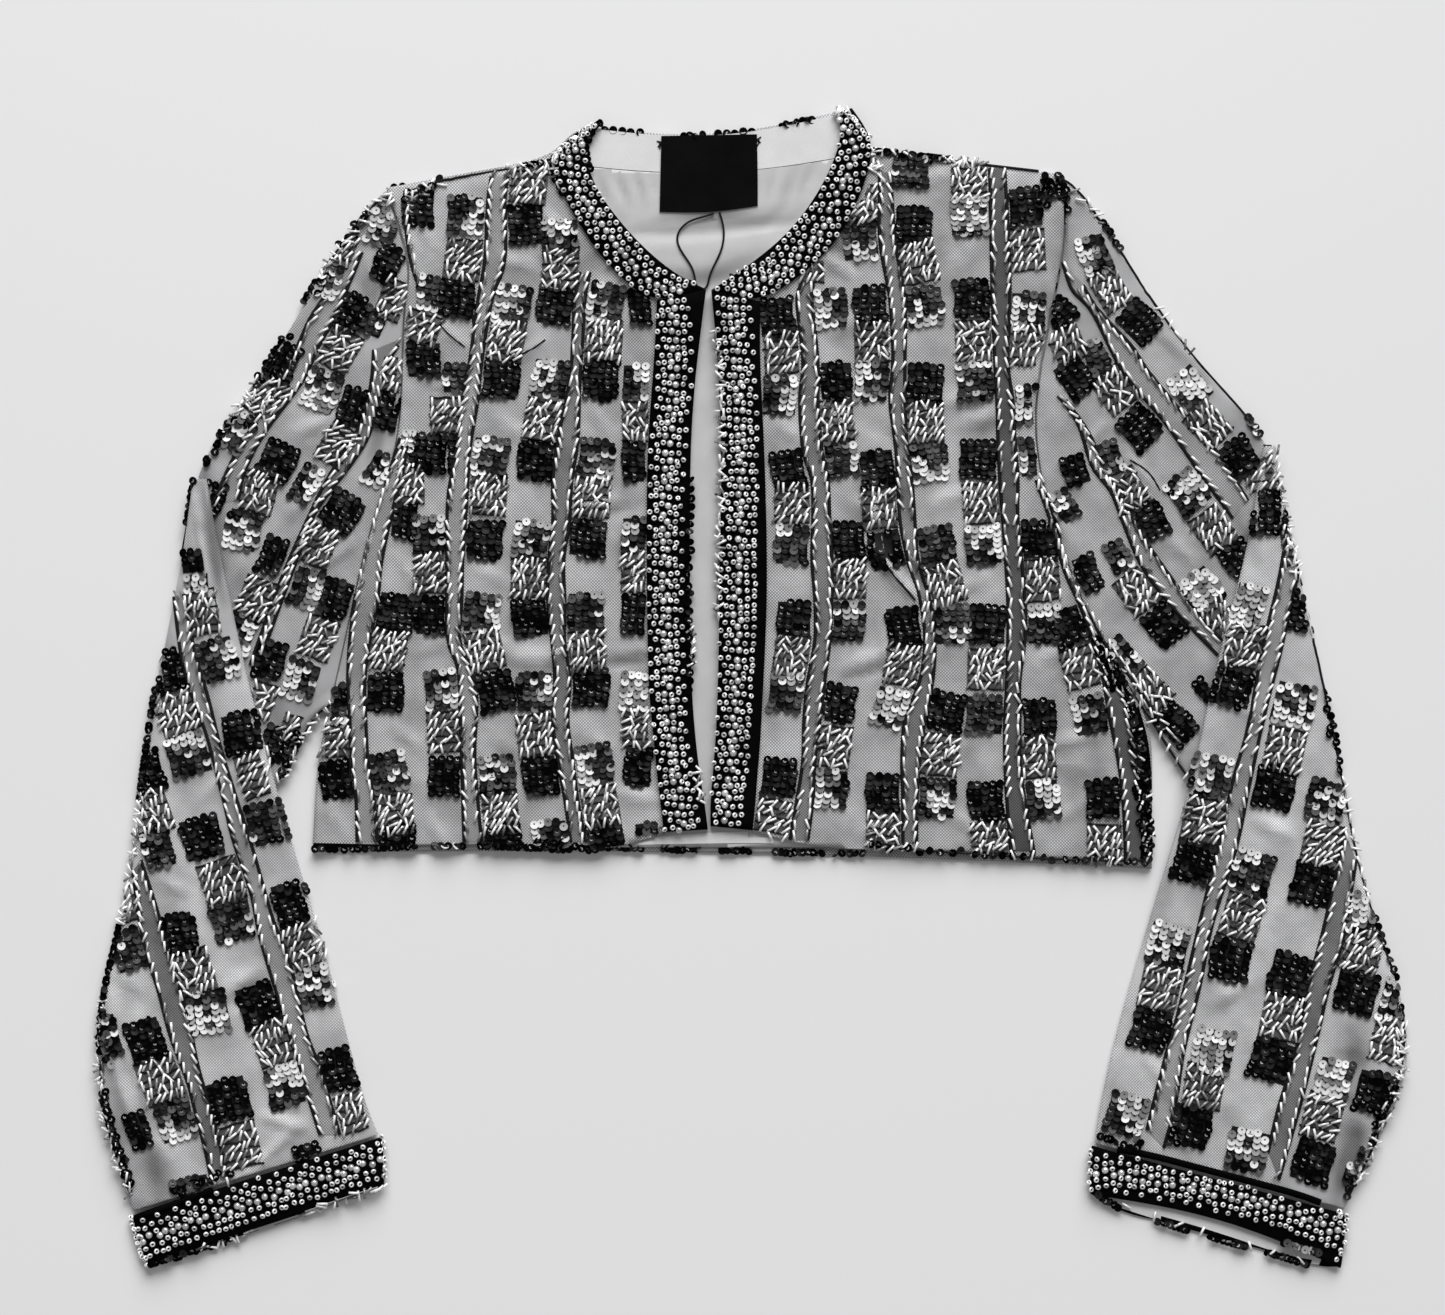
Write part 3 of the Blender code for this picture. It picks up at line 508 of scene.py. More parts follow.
def cloth(name, node, material, slot, levels, tube, raise_to):
    """Make thin cloth on a solid's form, smoothed, creased and given painted shade.

    raise_to is the height under which the cloth is lifted, so that flat beads
    have room between it and the surface.
    """
    thing = smoothed(name, node, levels, tube)
    fine = thing.data
    creases = creases_on(node)
    shades = LINING_PAINTED_SHADES if material == LINING else PAINTED_SHADES
    if material == LINING:
        cut_finer(fine, LINING_GRID, at(0, LINING_GRID_END)[1])
    elif creases:
        cut_finer(fine, CREASE_GRID)
    tree = tree_of(thing)
    places = np.array([vertex.co for vertex in fine.vertices])
    lifts = crease_heights(places[:, 0], places[:, 1], creases)
    if creases is CREASES:
        lifts *= CREASE_DEPTH
    # Painted shade: troughs are painted darker and ridges lighter, and the painted shades are added.
    shade = 1 + lifts * PAINTED_SHADE_PER_METRE
    shade = shade + crease_heights(places[:, 0], places[:, 1], shades) / MM
    store_greys(fine, "shade", np.clip(shade, DARKEST, LIGHTEST))
    for vertex, lift in zip(fine.vertices, lifts):
        share = lift_share(tree, *vertex.co) if tube else 1.0
        moved = vertex.co.z + share * lift
        if raise_to and moved < raise_to:
            moved = mix(SQUASHED_TO * MM, raise_to, max(moved, 0.0) / raise_to)
        vertex.co.z = moved
    fine.materials.clear()
    fine.materials.append(material)
    fine.shade_smooth()
    if material in (FACING, LABEL):
        fine.shade_flat()
    elif not tube:
        fine.set_sharp_from_angle(angle=SHARP_ANGLE)
    return finished(thing, slot, node)


BACK_RAISE = 1.6 * MM
TUBE_RAISE = 2.2 * MM

# A piece of cloth: its short name, the last word of its object's name, its node, its
# material and slot, how often it is smoothed, whether it is a tube, and its raise.
CLOTHS = (
    ("back", "cloth", "back_panel", NET, "beaded_net", 2, False, BACK_RAISE),
    ("front_left", "cloth", "front_left", NET, "beaded_net", 1, False, 0.0),
    ("front_right", "cloth", "front_right", NET, "beaded_net", 1, False, 0.0),
    ("upper_left", "cloth", "sleeve_left_upper", NET_UPPER, "beaded_net", 2, True, TUBE_RAISE),
    ("upper_right", "cloth", "sleeve_right_upper", NET_UPPER, "beaded_net", 2, True, TUBE_RAISE),
    ("lower_left", "cloth", "sleeve_left_lower", NET_LOWER, "beaded_net", 2, True, TUBE_RAISE),
    ("lower_right", "cloth", "sleeve_right_lower", NET_LOWER, "beaded_net", 2, True, TUBE_RAISE),
    ("cuff_left", "ribbon", "cuff_left", RIBBON, "black_ribbon", 2, True, TUBE_RAISE),
    ("cuff_right", "ribbon", "cuff_right", RIBBON, "black_ribbon", 2, True, TUBE_RAISE),
    ("band_left", "ribbon", "band_front_left", RIBBON, "black_ribbon", 2, False, 0.0),
    ("band_right", "ribbon", "band_front_right", RIBBON, "black_ribbon", 2, False, 0.0),
    ("neck_left", "ribbon", "band_neck_left", RIBBON, "black_ribbon", 2, False, 0.0),
    ("neck_right", "ribbon", "band_neck_right", RIBBON, "black_ribbon", 2, False, 0.0),
    ("lining", "satin", "lining_back", LINING, "pale_lining", 1, False, 0.0),
    ("facing", "cloth", "facing_back_neck", FACING, "pale_lining", 2, False, 0.0),
    ("label", "cloth_blank", "label", LABEL, "label_weave", 2, False, 0.0),
)
shells = {}
for piece, ending, node, *rest in CLOTHS:
    name = "back_cloth" if piece == "back" else f"{node}_{ending}"
    shells[piece] = cloth(name, node, *rest)

FARTHEST_PULL = 1.35


def draw_in(thing, first, last, reach, pull):
    """Shorten a cuff between two places of its top edge, by so many pixels at the most.

    reach is how far under that edge the pull is reached, in pixels.
    """
    for vertex in thing.data.vertices:
        u = ORIGIN_U + vertex.co.x / PIXEL
        v = ORIGIN_V - vertex.co.y / PIXEL
        along = (u - first[0]) / (last[0] - first[0])
        if 0 < along < 1:
            below = (v - mix(first[1], last[1], along)) / reach
            share = min(max(below, 0.0), FARTHEST_PULL) * math.sin(math.pi * along)
            vertex.co.y += pull * PIXEL * share


draw_in(shells["cuff_right"], (1092, 1150), (1342, 1212), reach=50, pull=12)
trees = {name: tree_of(thing) for name, thing in shells.items()}


def top_at(x, y, start=RAY_START):
    """Return the uppermost piece at a place below start, with its height and normal."""
    best = (None, None, None)
    for name, tree in trees.items():
        place, normal = tree.ray_cast(Vector((x, y, start)), DOWN)[:2]
        if place is not None and (best[0] is None or place.z > best[1].z):
            best = (name, place, normal)
    return best


def ring_points(radius, count, height, start=0.0):
    """Return points round a level circle."""
    turns = [start + 2 * math.pi * step / count for step in range(count)]
    return [(radius * math.cos(turn), radius * math.sin(turn), height) for turn in turns]


def lathe(rings, closed=False, capped=False):
    """Join rings of equally many points into triangles.

    closed joins the last ring to the first one, and capped fills both ends.
    """
    count = len(rings[0])
    points = [point for ring in rings for point in ring]
    faces = []
    pairs = [(index, index + 1) for index in range(len(rings) - 1)]
    if closed:
        pairs.append((len(rings) - 1, 0))
    for first, second in pairs:
        for step in range(count):
            near = first * count + step
            beside = first * count + (step + 1) % count
            far = second * count + step
            across = second * count + (step + 1) % count
            faces += [(near, beside, across), (near, across, far)]
    if capped:
        last = (len(rings) - 1) * count
        for step in range(1, count - 1):
            faces += [(0, step + 1, step), (last, last + step, last + step + 1)]
    return np.array(points) * MM, np.array(faces)


def with_knot(points, faces, radius, height):
    """Add the knot of black thread that fills a bead's hole, 4 triangles."""
    count = len(points)
    knot = np.array(ring_points(radius, 6, height)) * MM
    knot_faces = np.array([(count, count + step, count + step + 1) for step in range(1, 5)])
    return np.concatenate([points, knot]), np.concatenate([faces, knot_faces])


def sequin_shape():
    """Return a cupped disc, its hole off the middle, 44 triangles."""
    radii_and_heights = ((SEQUIN / 2, 0.34), (1.15, 0.03), (0.45, 0.0))
    rings = [ring_points(radius, 10, height) for radius, height in radii_and_heights]
    points, faces = with_knot(*lathe(rings), radius=0.54, height=0.08)
    points[10:, 1] += 0.5 * MM
    return points, faces


def bugle_shape():
    """Return a glass tube lying along X, 28 triangles."""
    half = BUGLE_LONG / 2
    rings = []
    for x in (-half, half):
        ring = ring_points(BUGLE_THICK / 2, 8, 0.0)
        rings.append([(x, b, a) for a, b, c in ring])
    return lathe(rings, capped=True)


def bead_shape():
    """Return a round bead with its hole upwards, 68 triangles."""
    rings = []
    for step in range(4):
        turn = 2 * math.pi * step / 4
        radius = BEAD_MIDDLE + BEAD_RIM * math.cos(turn)
        rings.append(ring_points(radius, 8, BEAD_HALF_HIGH * math.sin(turn)))
    points, faces = with_knot(*lathe(rings, closed=True), radius=0.6, height=0.55)
    points[32:, 0] += 0.2 * MM
    return points, faces


def stone_shape():
    """Return a cut stone with a flat top, 38 triangles."""
    rings = [
        ring_points(STONE / 2 - 0.1, 8, -0.5),
        ring_points(STONE / 2, 8, 0.1, 0.39),
        ring_points(STONE * 0.27, 8, 1.0),
    ]
    return lathe(rings, capped=True)


def disc_shape(radius, rise):
    """Return a flat bead with a dark knot in its middle, 20 triangles."""
    hole = 0.35 * radius
    rings = [ring_points(radius, 8, 0.0), ring_points(hole, 8, rise)]
    return with_knot(*lathe(rings), hole, rise + 0.03)


def rod_shape():
    """Return a bugle bead flat enough for the lower side, 12 triangles."""
    half = BUGLE_LONG / 2
    wide, high = ROD_HALF_WIDE, ROD_HALF_HIGH
    corners = ((-wide, high), (-wide, -high), (wide, -high), (wide, high))
    rings = [[(x, y, z) for y, z in corners] for x in (-half, half)]
    return lathe(rings, capped=True)


class Kind(NamedTuple):
    """What one kind of bead is made of.

    parts says for each point which grey it takes: 0 is the bead's own tone, 1 that of its
    hole's rim, which on black and grey sequins is a painted highlight, and 2 that of the
    knot. Without it all points take the first.
    """

    shape: tuple
    material: object
    slot: str
    smooth: bool
    parts: list = None


KINDS = {
    "sequins": Kind(sequin_shape(), SEQUINS, "beaded_net", True, [0] * 25 + [1] * 5 + [2] * 6),
    "bugles": Kind(bugle_shape(), BUGLES, "beaded_net", True),
    "beads": Kind(bead_shape(), BEADS, "black_ribbon", True, [0] * 32 + [2] * 6),
    "stones": Kind(stone_shape(), STONES, "black_ribbon", False),
    "discs": Kind(disc_shape(2.2, 0.1), SEQUINS, "beaded_net", False, [0] * 8 + [1] * 8 + [2] * 6),
    "rods": Kind(rod_shape(), BUGLES, "beaded_net", False),
    "studs": Kind(disc_shape(1.6, 0.3), BEADS, "black_ribbon", True, [0] * 16 + [2] * 6),
}
placed = {}


def put(piece, kind, place, frame_axes, tone, rim_tone_or_glint=None):
    """Note one bead of a piece: its place, its axes as columns and its two greys.

    rim_tone_or_glint is the grey of its hole's rim, a painted highlight on black and grey
    sequins, and the same as its tone if it isn't given.
    """
    item = (place, frame_axes, tone, tone if rim_tone_or_glint is None else rim_tone_or_glint)
    placed.setdefault((piece, kind), []).append(item)


def axes_on(normal, heading, pitch=0.0, roll=0.0):
    """Return the axes of a bead that lies on a surface, heading so far from +X.

    pitch lifts its far end and roll lifts its left side, all in radians.
    """
    forward = Vector((math.cos(heading), math.sin(heading), 0.0))
    forward = (forward - normal * forward.dot(normal)).normalized()
    side = normal.cross(forward)
    turned = Matrix((forward, side, normal)).transposed()
    lean = Matrix.Rotation(-pitch, 3, "Y") @ Matrix.Rotation(roll, 3, "X")
    return turned @ lean


def lay(piece, kind, x, y, heading, tone, lift, pitch=0.0, roll=0.0, rim_tone_or_glint=None):
    """Lay one bead on a piece, but only where that piece is uppermost."""
    name, place, normal = top_at(x, y)
    if name == piece and normal.z >= STEEPEST:
        axes = axes_on(normal, heading, pitch, roll)
        put(piece, kind, place + normal * (lift * MM), axes, tone, rim_tone_or_glint)


# Edge beads hang over by BEAD_REACH at the most. A piece's edge is looked for from
# EDGE_HEIGHT, in metres.
BEAD_REACH = 0.8
EDGE_HEIGHT = 0.004


def edge_place(piece, x, y, reach):
    """Return a place on a piece, or so many millimetres past its edge at the most."""
    place = trees[piece].ray_cast(Vector((x, y, RAY_START)), DOWN)[0]
    if place is not None:
        return place
    place = trees[piece].find_nearest(Vector((x, y, EDGE_HEIGHT)))[0]
    past = Vector((x - place.x, y - place.y, 0.0))
    if past.length > reach * MM:
        past *= reach * MM / past.length
    return place + past


def lay_near(piece, kind, x, y, heading, tone, lift, pitch=0.0, roll=0.0, rim_tone_or_glint=None):
    """Lay one bead at a piece's edge, even where it sticks out a little.

    It never lies lower than LOWEST_BEAD, so that a tilted one clears the surface.
    """
    spot = edge_place(piece, x, y, BEAD_REACH)
    spot.z = max(spot.z + lift * MM, LOWEST_BEAD * MM)
    put(piece, kind, spot, axes_on(UP, heading, pitch, roll), tone, rim_tone_or_glint)


def mesh_object(name, points, faces, material, tones=None, smooth=True):
    """Make an object of triangles, with a grey for each point if given."""
    mesh = bpy.data.meshes.new(name)
    count = len(faces)
    mesh.vertices.add(len(points))
    mesh.vertices.foreach_set("co", np.asarray(points, np.float32).ravel())
    mesh.loops.add(count * 3)
    mesh.loops.foreach_set("vertex_index", np.asarray(faces, np.int32).ravel())
    mesh.polygons.add(count)
    mesh.polygons.foreach_set("loop_start", np.arange(0, count * 3, 3, dtype=np.int32))
    mesh.polygons.foreach_set("loop_total", np.full(count, 3, np.int32))
    mesh.update(calc_edges=True)
    if tones is not None:
        store_greys(mesh, "tone", tones)
    if smooth:
        mesh.shade_smooth()
    mesh.materials.append(material)
    thing = bpy.data.objects.new(name, mesh)
    bpy.context.scene.collection.objects.link(thing)
    return thing


def make_placed():
    """Join all the noted beads into one mesh for each piece and kind."""
    for (piece, kind), items in placed.items():
        made = KINDS[kind]
        shape_points, shape_faces = made.shape
        places = np.array([item[0] for item in items])
        axes = np.array([[list(row) for row in item[1]] for item in items])
        greys = np.array([(item[2], item[3], KNOT_GREY) for item in items])
        parts = made.parts or [0] * len(shape_points)
        points = np.einsum("nij,kj->nki", axes, shape_points) + places[:, None, :]
        offsets = np.arange(len(items)) * len(shape_points)
        faces = shape_faces[None, :, :] + offsets[:, None, None]
        thing = mesh_object(
            f"{piece}_{kind}",
            points.reshape(-1, 3),
            faces.reshape(-1, 3),
            made.material,
            greys[:, parts].ravel(),
            made.smooth,
        )
        finished(thing, made.slot)


CURVE_PARTS = 10


def smooth_line(points, step):
    """Read points at about even steps from a smooth curve through the given ones."""
    fine = []
    for index in range(len(points) - 1):
        before = points[max(index - 1, 0)]
        here, there = points[index], points[index + 1]
        after = points[min(index + 2, len(points) - 1)]
        for part in range(CURVE_PARTS):
            t = part / CURVE_PARTS
            place = []
            for a, b, c, d in zip(before, here, there, after):
                curve = 2 * b + (c - a) * t
                curve += (2 * a - 5 * b + 4 * c - d) * t ** 2
                curve += (3 * b - a - 3 * c + d) * t ** 3
                place.append(curve / 2)
            fine.append(place)
    fine.append(list(points[-1]))
    line = np.array(fine)
    lengths = np.concatenate([[0], np.cumsum(np.linalg.norm(np.diff(line, axis=0), axis=1))])
    count = max(2, round(lengths[-1] / step) + 1)
    even = np.linspace(0, lengths[-1], count)
    return np.stack([np.interp(even, lengths, line[:, axis]) for axis in range(line.shape[1])], 1)


def two_lines(crosses):
    """Return the left and the right line that cross the levels v at the given u."""
    left = [(left_u, v) for v, left_u, right_u in crosses]
    right = [(right_u, v) for v, left_u, right_u in crosses]
    return left, right


def near_level(line, v):
    """Return the u at which a channel's line reaches a height of the photo."""
    order = sorted(line, key=lambda point: point[1])
    return float(np.interp(v, [point[1] for point in order], [point[0] for point in order]))


class Column(NamedTuple):
    """Blocks beside a channel's line: how far off in pixels, how wide, and their rows.

    A row is the block's kind and its height in the photo: s for silver and grey
    sequins, m for a little more silver, w for mostly silver, d for mostly grey, k
    for black, b for bugles.
    """

    channel: str
    side: str
    offset: float
    wide: float
    rows: str


class Spot(NamedTuple):
    """One block on its own: kind, place and size in pixels, and its turn in degrees.

    Without a turn it follows the nearest channel.
    """

    kind: str
    u: float
    v: float
    wide: float = 19.0
    high: float = 22.0
    turn: float = None


# A front's channel: its piece, name and net, and where its left and right line cross the
# levels of the photo: v, left u, right u.
FRONT_CHANNELS = (
    ("front_left", "l0", "palenets", (
        (438, 400, 408), (470, 390, 403), (500, 378, 395), (560, 362, 382), (600, 355, 378),
        (640, 350, 370), (680, 348, 365), (720, 350, 366), (760, 352, 368), (800, 356, 374),
        (842, 357, 377),
    )),
    ("front_left", "l1", "palenets", (
        (168, 493, 510), (200, 488, 505), (260, 485, 505), (300, 478, 492), (360, 470, 482),
        (400, 462, 478), (450, 456, 470), (500, 448, 467), (560, 447, 463), (600, 447, 462),
        (640, 448, 460), (668, 458, 470), (700, 460, 477), (760, 462, 475), (842, 464, 482),
    )),
    ("front_left", "l2", "channels", (
        (272, 580, 590), (300, 575, 585), (340, 573, 583), (380, 570, 580), (440, 558, 578),
        (480, 553, 572), (520, 553, 570), (560, 549, 564), (600, 548, 565), (640, 552, 565),
        (680, 555, 570), (720, 553, 568), (760, 558, 573), (800, 565, 578), (842, 571, 586),
    )),
    ("front_right", "r1", "channels", (
        (282, 803, 814), (300, 797, 812), (360, 803, 818), (400, 800, 818), (450, 803, 822),
        (480, 812, 828), (520, 813, 830), (560, 812, 832), (600, 815, 832), (640, 815, 830),
        (680, 808, 825), (720, 804, 820), (760, 803, 815), (800, 797, 813), (840, 790, 808),
    )),
    ("front_right", "r2", "channels", (
        (172, 880, 891), (240, 880, 895), (300, 890, 905), (360, 893, 905), (400, 890, 905),
        (440, 895, 907), (480, 898, 912), (520, 900, 915), (560, 908, 918), (600, 920, 930),
        (640, 925, 935), (680, 920, 933), (720, 905, 925), (760, 902, 920), (800, 903, 917),
        (852, 903, 917),
    )),
    ("front_right", "r3", "darknets", (
        (168, 990, 1005), (280, 992, 1010), (360, 995, 1008), (400, 997, 1013), (440, 998, 1015),
        (480, 1000, 1018), (520, 1003, 1018), (600, 1008, 1025), (640, 1008, 1025), (680, 1007, 1020),
        (720, 1005, 1020), (760, 1005, 1020), (800, 1007, 1025), (860, 1012, 1036),
    )),
    ("front_right", "r4", "darknets", (
        (480, 1036, 1050), (520, 1050, 1062), (570, 1064, 1078), (606, 1080, 1092), (642, 1093, 1106),
        (680, 1103, 1118), (720, 1110, 1130), (760, 1118, 1136), (800, 1123, 1142), (862, 1126, 1150),
    )),
)

FRONT_COLUMNS = (
    Column("l1", "left", -22, 21, "s215 b260 k299"),
    Column("l1", "left", -18, 19, "s535 b573 k615 s690 b732 k777"),
    Column("l1", "right", 21, 21, "b183 k225 s305 b341 k380 s457 b495 k540 s613 b650"),
    Column("l1", "right", 21, 21, "k692 s775 b814 k842"),
    Column("l2", "left", -20, 21, "s238 b268 k305 s379 b420 k460 s540 b578 k617 s691 b735 k776 s840"),
    Column("l2", "right", 21, 21, "s303 b340 k380 s459 b497 k538 s612 b651 k688 s765 b807 k838"),
    Column("l0", "right", 20, 21, "k613 b650 k693 s772 b815 k843"),
    Column("l0", "left", -18, 19, "s703 b737 k779"),
    Column("r1", "left", -21, 20, "k317 b352 s396 k470 b503 s545 k620 b656 s693 k778 b820"),
    Column("r1", "right", 18, 19, "s309 k381 b420 s458 k541 b578 s622 k704 b747 s789"),
    Column("r2", "left", -20, 20, "b205 s240 k305 b342 s382 k469 b508 k550 k626 b665 w708 k793 b832"),
    Column("r2", "right", 20, 21, "d168 k226 b262 s306 k384 b422 s462 d546 b584 s624 k712 b755 s799"),
    Column("r3", "left", -21, 21, "b180 w216 k299 b341 s382 k460 b503 s545 k625 b669 d715 k801 b842"),
    Column("r3", "right", 19, 20, "k207 b250 s312 b345 s405 s457 k539 b580 s625 k718 b757 s800"),
    Column("r4", "left", -20, 20, "k627 b668 s715 k799 b845"),
)


def spots(*rows):
    """Return the blocks that the rows give."""
    return [Spot(*row) for row in rows]


FRONT_SPOTS = spots(
    ("k", 418, 208, 19, 22, 0), ("s", 428, 292, 12, 20, 8), ("b", 422, 328, 20, 17, 20),
    ("k", 424, 360, 20, 21, 0), ("s", 455, 378, 14, 18, 0), ("b", 446, 415, 19, 20, 0),
    ("k", 433, 454, 26, 23, 0), ("w", 409, 443, 7, 16, 0), ("b", 411, 484, 15, 22, 0),
    ("k", 405, 520, 15, 22, 8), ("k", 640, 307, 13, 22, 0), ("s", 636, 382, 15, 21, 0),
    ("b", 635, 421, 15, 22, 0), ("k", 634, 462, 14, 24, 0), ("s", 634, 535, 14, 21, 0),
    ("b", 633, 572, 14, 22, 0), ("k", 633, 615, 15, 24, 0), ("w", 634, 692, 16, 22, 0),
    ("b", 635, 728, 15, 22, 0), ("k", 638, 767, 16, 24, 4), ("d", 650, 828, 18, 8, -8),
    ("b", 812, 268, 14, 16, 0), ("k", 1066, 187, 12, 18, 0),
)

# Greys of sequins and painted highlights on their holes' rims, how far each kind pulls its
# sequins towards silver and how much that varies, and the greys of bugle beads.
BLACKS = (0.0008, 0.001, 0.001, 0.0015, 0.002, 0.002, 0.004, 0.02)
SILVERS = (0.16, 0.36, 0.56, 0.66, 0.72, 0.8)
DARK_GREYS = (0.002, 0.008, 0.015, 0.025, 0.04, 0.09)
PULLS = {"s": -0.35, "m": 0.0, "w": 0.9, "d": -1.1}
BLACK_PAINTED_RIM_GLINTS = (0.05, 0.3, 0.7, 0.95)
GREY_PAINTED_RIM_GLINTS = (0.12, 0.4)
PULL_SPREAD = 0.5
SILVER_SHIFT = 0.35
DARK_BUGLE_TONES = (0.05, 0.35)
WHITE_GLASS = (0.8, 0.97)


def sequin_tone(kind, across, along, slope, shift):
    """Return the grey of a sequin of a block, by its place there, and that of its hole's rim,
    which on black and grey sequins is a painted highlight.

    A block is silver towards one side, which slope gives, and grey towards the other.
    """
    if kind in "ku":
        tone = rng.choice(BLACKS)
        return tone, rng.choice((tone, tone, *BLACK_PAINTED_RIM_GLINTS))
    pull = across * math.cos(slope) + along * math.sin(slope) + shift
    pull += rng.gauss(0, PULL_SPREAD) + PULLS[kind]
    if pull > 0:
        tone = rng.choice(SILVERS)
        return tone, tone
    tone = rng.choice(DARK_GREYS)
    return tone, rng.choice((tone, tone, *GREY_PAINTED_RIM_GLINTS))


def block_place(middle, across, along, turn):
    """Return the place so many millimetres across and along a turned block."""
    cosine, sine = math.cos(turn), math.sin(turn)
    x = middle[0] + (across * cosine - along * sine) * MM
    y = middle[1] + (across * sine + along * cosine) * MM
    return x, y


def cell(index, count, length):
    """Return how far the middle of one of some equal parts is from the middle of all."""
    return (index - (count - 1) / 2) * length / count


def patch(piece, what, middle, wide, high, turn):
    """Lay the ground that a block is sewn on: black thread or net in shade."""
    sides = []
    for across in (-wide / 2, wide / 2):
        side = []
        for step in range(5):
            across += rng.gauss(0, 0.2)
            side.append(block_place(middle, across, high * (0.5 - step / 4), turn))
        sides.append(side)
    gathered(piece, what).add(strip_on(piece, sides, STRIP_LIFT))


# The pitches of a block's beads across and along it, and how far its ground ends inside.
SEQUIN_ACROSS = 4.45
SEQUIN_ALONG = 3.5
BUGLE_ACROSS = 3.8
BUGLE_ALONG = 4.7
GROUND_MARGIN = 1.6

# How far sequins stray from their places: at random, and in waves along the rows and
# columns. Then how a sequin is lifted and tilted, and the share of some odd beads.
STRAY = 0.3
ROW_WAVE = 0.7
COLUMN_WAVE = 0.6
SEQUIN_LIFT, LIFT_SPREAD = 0.8, 0.4
PITCH_SPREAD = 0.14
ROLL, ROLL_SPREAD = -0.2, 0.12
HEADING_STRAY = 0.3
CORNER_GAPS = 0.25
CROSSWISE_BUGLES = 0.15
GREY_BUGLES = 0.27

# The bugle beads of a block: their slant, in radians, how far they stray across, along
# and in their slant, how they are lifted, and how thick the thread between rows is.
SLANTS = (0.85, 1.2)
ACROSS_STRAY, ALONG_STRAY, SLANT_STRAY = 0.7, 0.6, 0.26
BUGLE_LIFT, BUGLE_LIFT_SPREAD = 1.0, 0.6
ROW_THREAD = 1.2


def sequin_block(piece, kind, u, v, wide, high, turn):
    """Sew a block of sequins in rows, each row over the top of the next one."""
    columns = max(2, round(wide / SEQUIN_ACROSS))
    rows = max(2, round(high / SEQUIN_ALONG))
    slope = rng.uniform(0, 2 * math.pi)
    shift = rng.uniform(-SILVER_SHIFT, SILVER_SHIFT)
    sway = rng.uniform(0, 6)
    middle = at(u, v)
    patch(piece, "mats", middle, wide - GROUND_MARGIN, high - GROUND_MARGIN, turn)
    for row in range(rows):
        drift = ROW_WAVE * math.sin(row * 0.8 + sway)
        for column in range(columns):
            corner = row in (0, rows - 1) and column in (0, columns - 1)
            if corner and rng.random() < CORNER_GAPS:
                continue
            across = cell(column, columns, wide) + rng.gauss(0, STRAY) + drift
            along = rng.gauss(0, STRAY) - cell(row, rows, high)
            along += COLUMN_WAVE * math.sin(column * 0.9 + sway)
            x, y = block_place(middle, across, along, turn)
            tone, rim_tone_or_glint = sequin_tone(kind, across / wide * 2, along / high * 2, slope, shift)
            heading = turn + rng.uniform(-HEADING_STRAY, HEADING_STRAY)
            lift = SEQUIN_LIFT + LIFT_SPREAD * rng.random()
            pitch = rng.gauss(0, PITCH_SPREAD)
            roll = ROLL + rng.gauss(0, ROLL_SPREAD)
            lay(piece, "sequins", x, y, heading, tone, lift, pitch, roll, rim_tone_or_glint)


def bugle_tone():
    """Return the grey of one bugle bead: most are white, some grey."""
    if rng.random() < GREY_BUGLES:
        return rng.uniform(*DARK_BUGLE_TONES)
    return rng.uniform(*WHITE_GLASS)


def bugle_block(piece, u, v, wide, high, turn):
    """Sew a block of slanting bugle beads in rows, with black thread between the rows."""
    columns = max(2, round(wide / BUGLE_ACROSS))
    rows = max(2, round(high / BUGLE_ALONG))
    middle = at(u, v)
    slant = rng.uniform(*SLANTS)
    patch(piece, "grounds", middle, wide, high + 1.0, turn)
    for row in range(rows + 1):
        level = (rows / 2 - row) * high / rows
        line = []
        for step in range(5):
            across = wide * (step / 4 - 0.5) + rng.gauss(0, 0.3)
            line.append(block_place(middle, across, level + rng.gauss(0, 0.5), turn))
        gathered(piece, "threads").add(tube_on((piece,), line, ROW_THREAD, lift=0.6, sides=4))
    for row in range(rows):
        for column in range(columns):
            across = cell(column, columns, wide) + rng.gauss(0, ACROSS_STRAY)
            along = rng.gauss(0, ALONG_STRAY) - cell(row, rows, high)
            x, y = block_place(middle, across, along, turn)
            heading = turn + slant + rng.gauss(0, SLANT_STRAY)
            if rng.random() < CROSSWISE_BUGLES:
                heading = turn + math.pi / 2 + rng.uniform(-0.1, 0.8)
            lift = BUGLE_LIFT + BUGLE_LIFT_SPREAD * rng.random()
            lay(piece, "bugles", x, y, heading, bugle_tone(), lift, rng.gauss(0, 0.06))


def block(piece, kind, u, v, wide, high, turn):
    """Sew one block of a column."""
    if kind == "b":
        bugle_block(piece, u, v, wide, high, turn)
    else:
        sequin_block(piece, kind, u, v, wide, high, turn)


STRIP_PARTS = 4


def strip_on(piece, edges, lift, start=RAY_START):
    """Return a strip of cloth between two lines, just above the piece under it.

    start is the height in metres from which that piece is looked for.
    """
    points, kept, faces = [], [], []
    for first, second in zip(*edges):
        for step in range(STRIP_PARTS + 1):
            x = mix(first[0], second[0], step / STRIP_PARTS)
            y = mix(first[1], second[1], step / STRIP_PARTS)
            name, place = top_at(x, y, start)[:2]
            kept.append(name == piece)
            points.append((x, y, place.z + lift * MM if place is not None else 0.0))
    for index in range(len(edges[0]) - 1):
        for step in range(STRIP_PARTS):
            near = index * (STRIP_PARTS + 1) + step
            far = near + STRIP_PARTS + 1
            if kept[near] and kept[near + 1] and kept[far] and kept[far + 1]:
                faces += [(near, near + 1, far + 1), (near, far + 1, far)]
    return points, faces


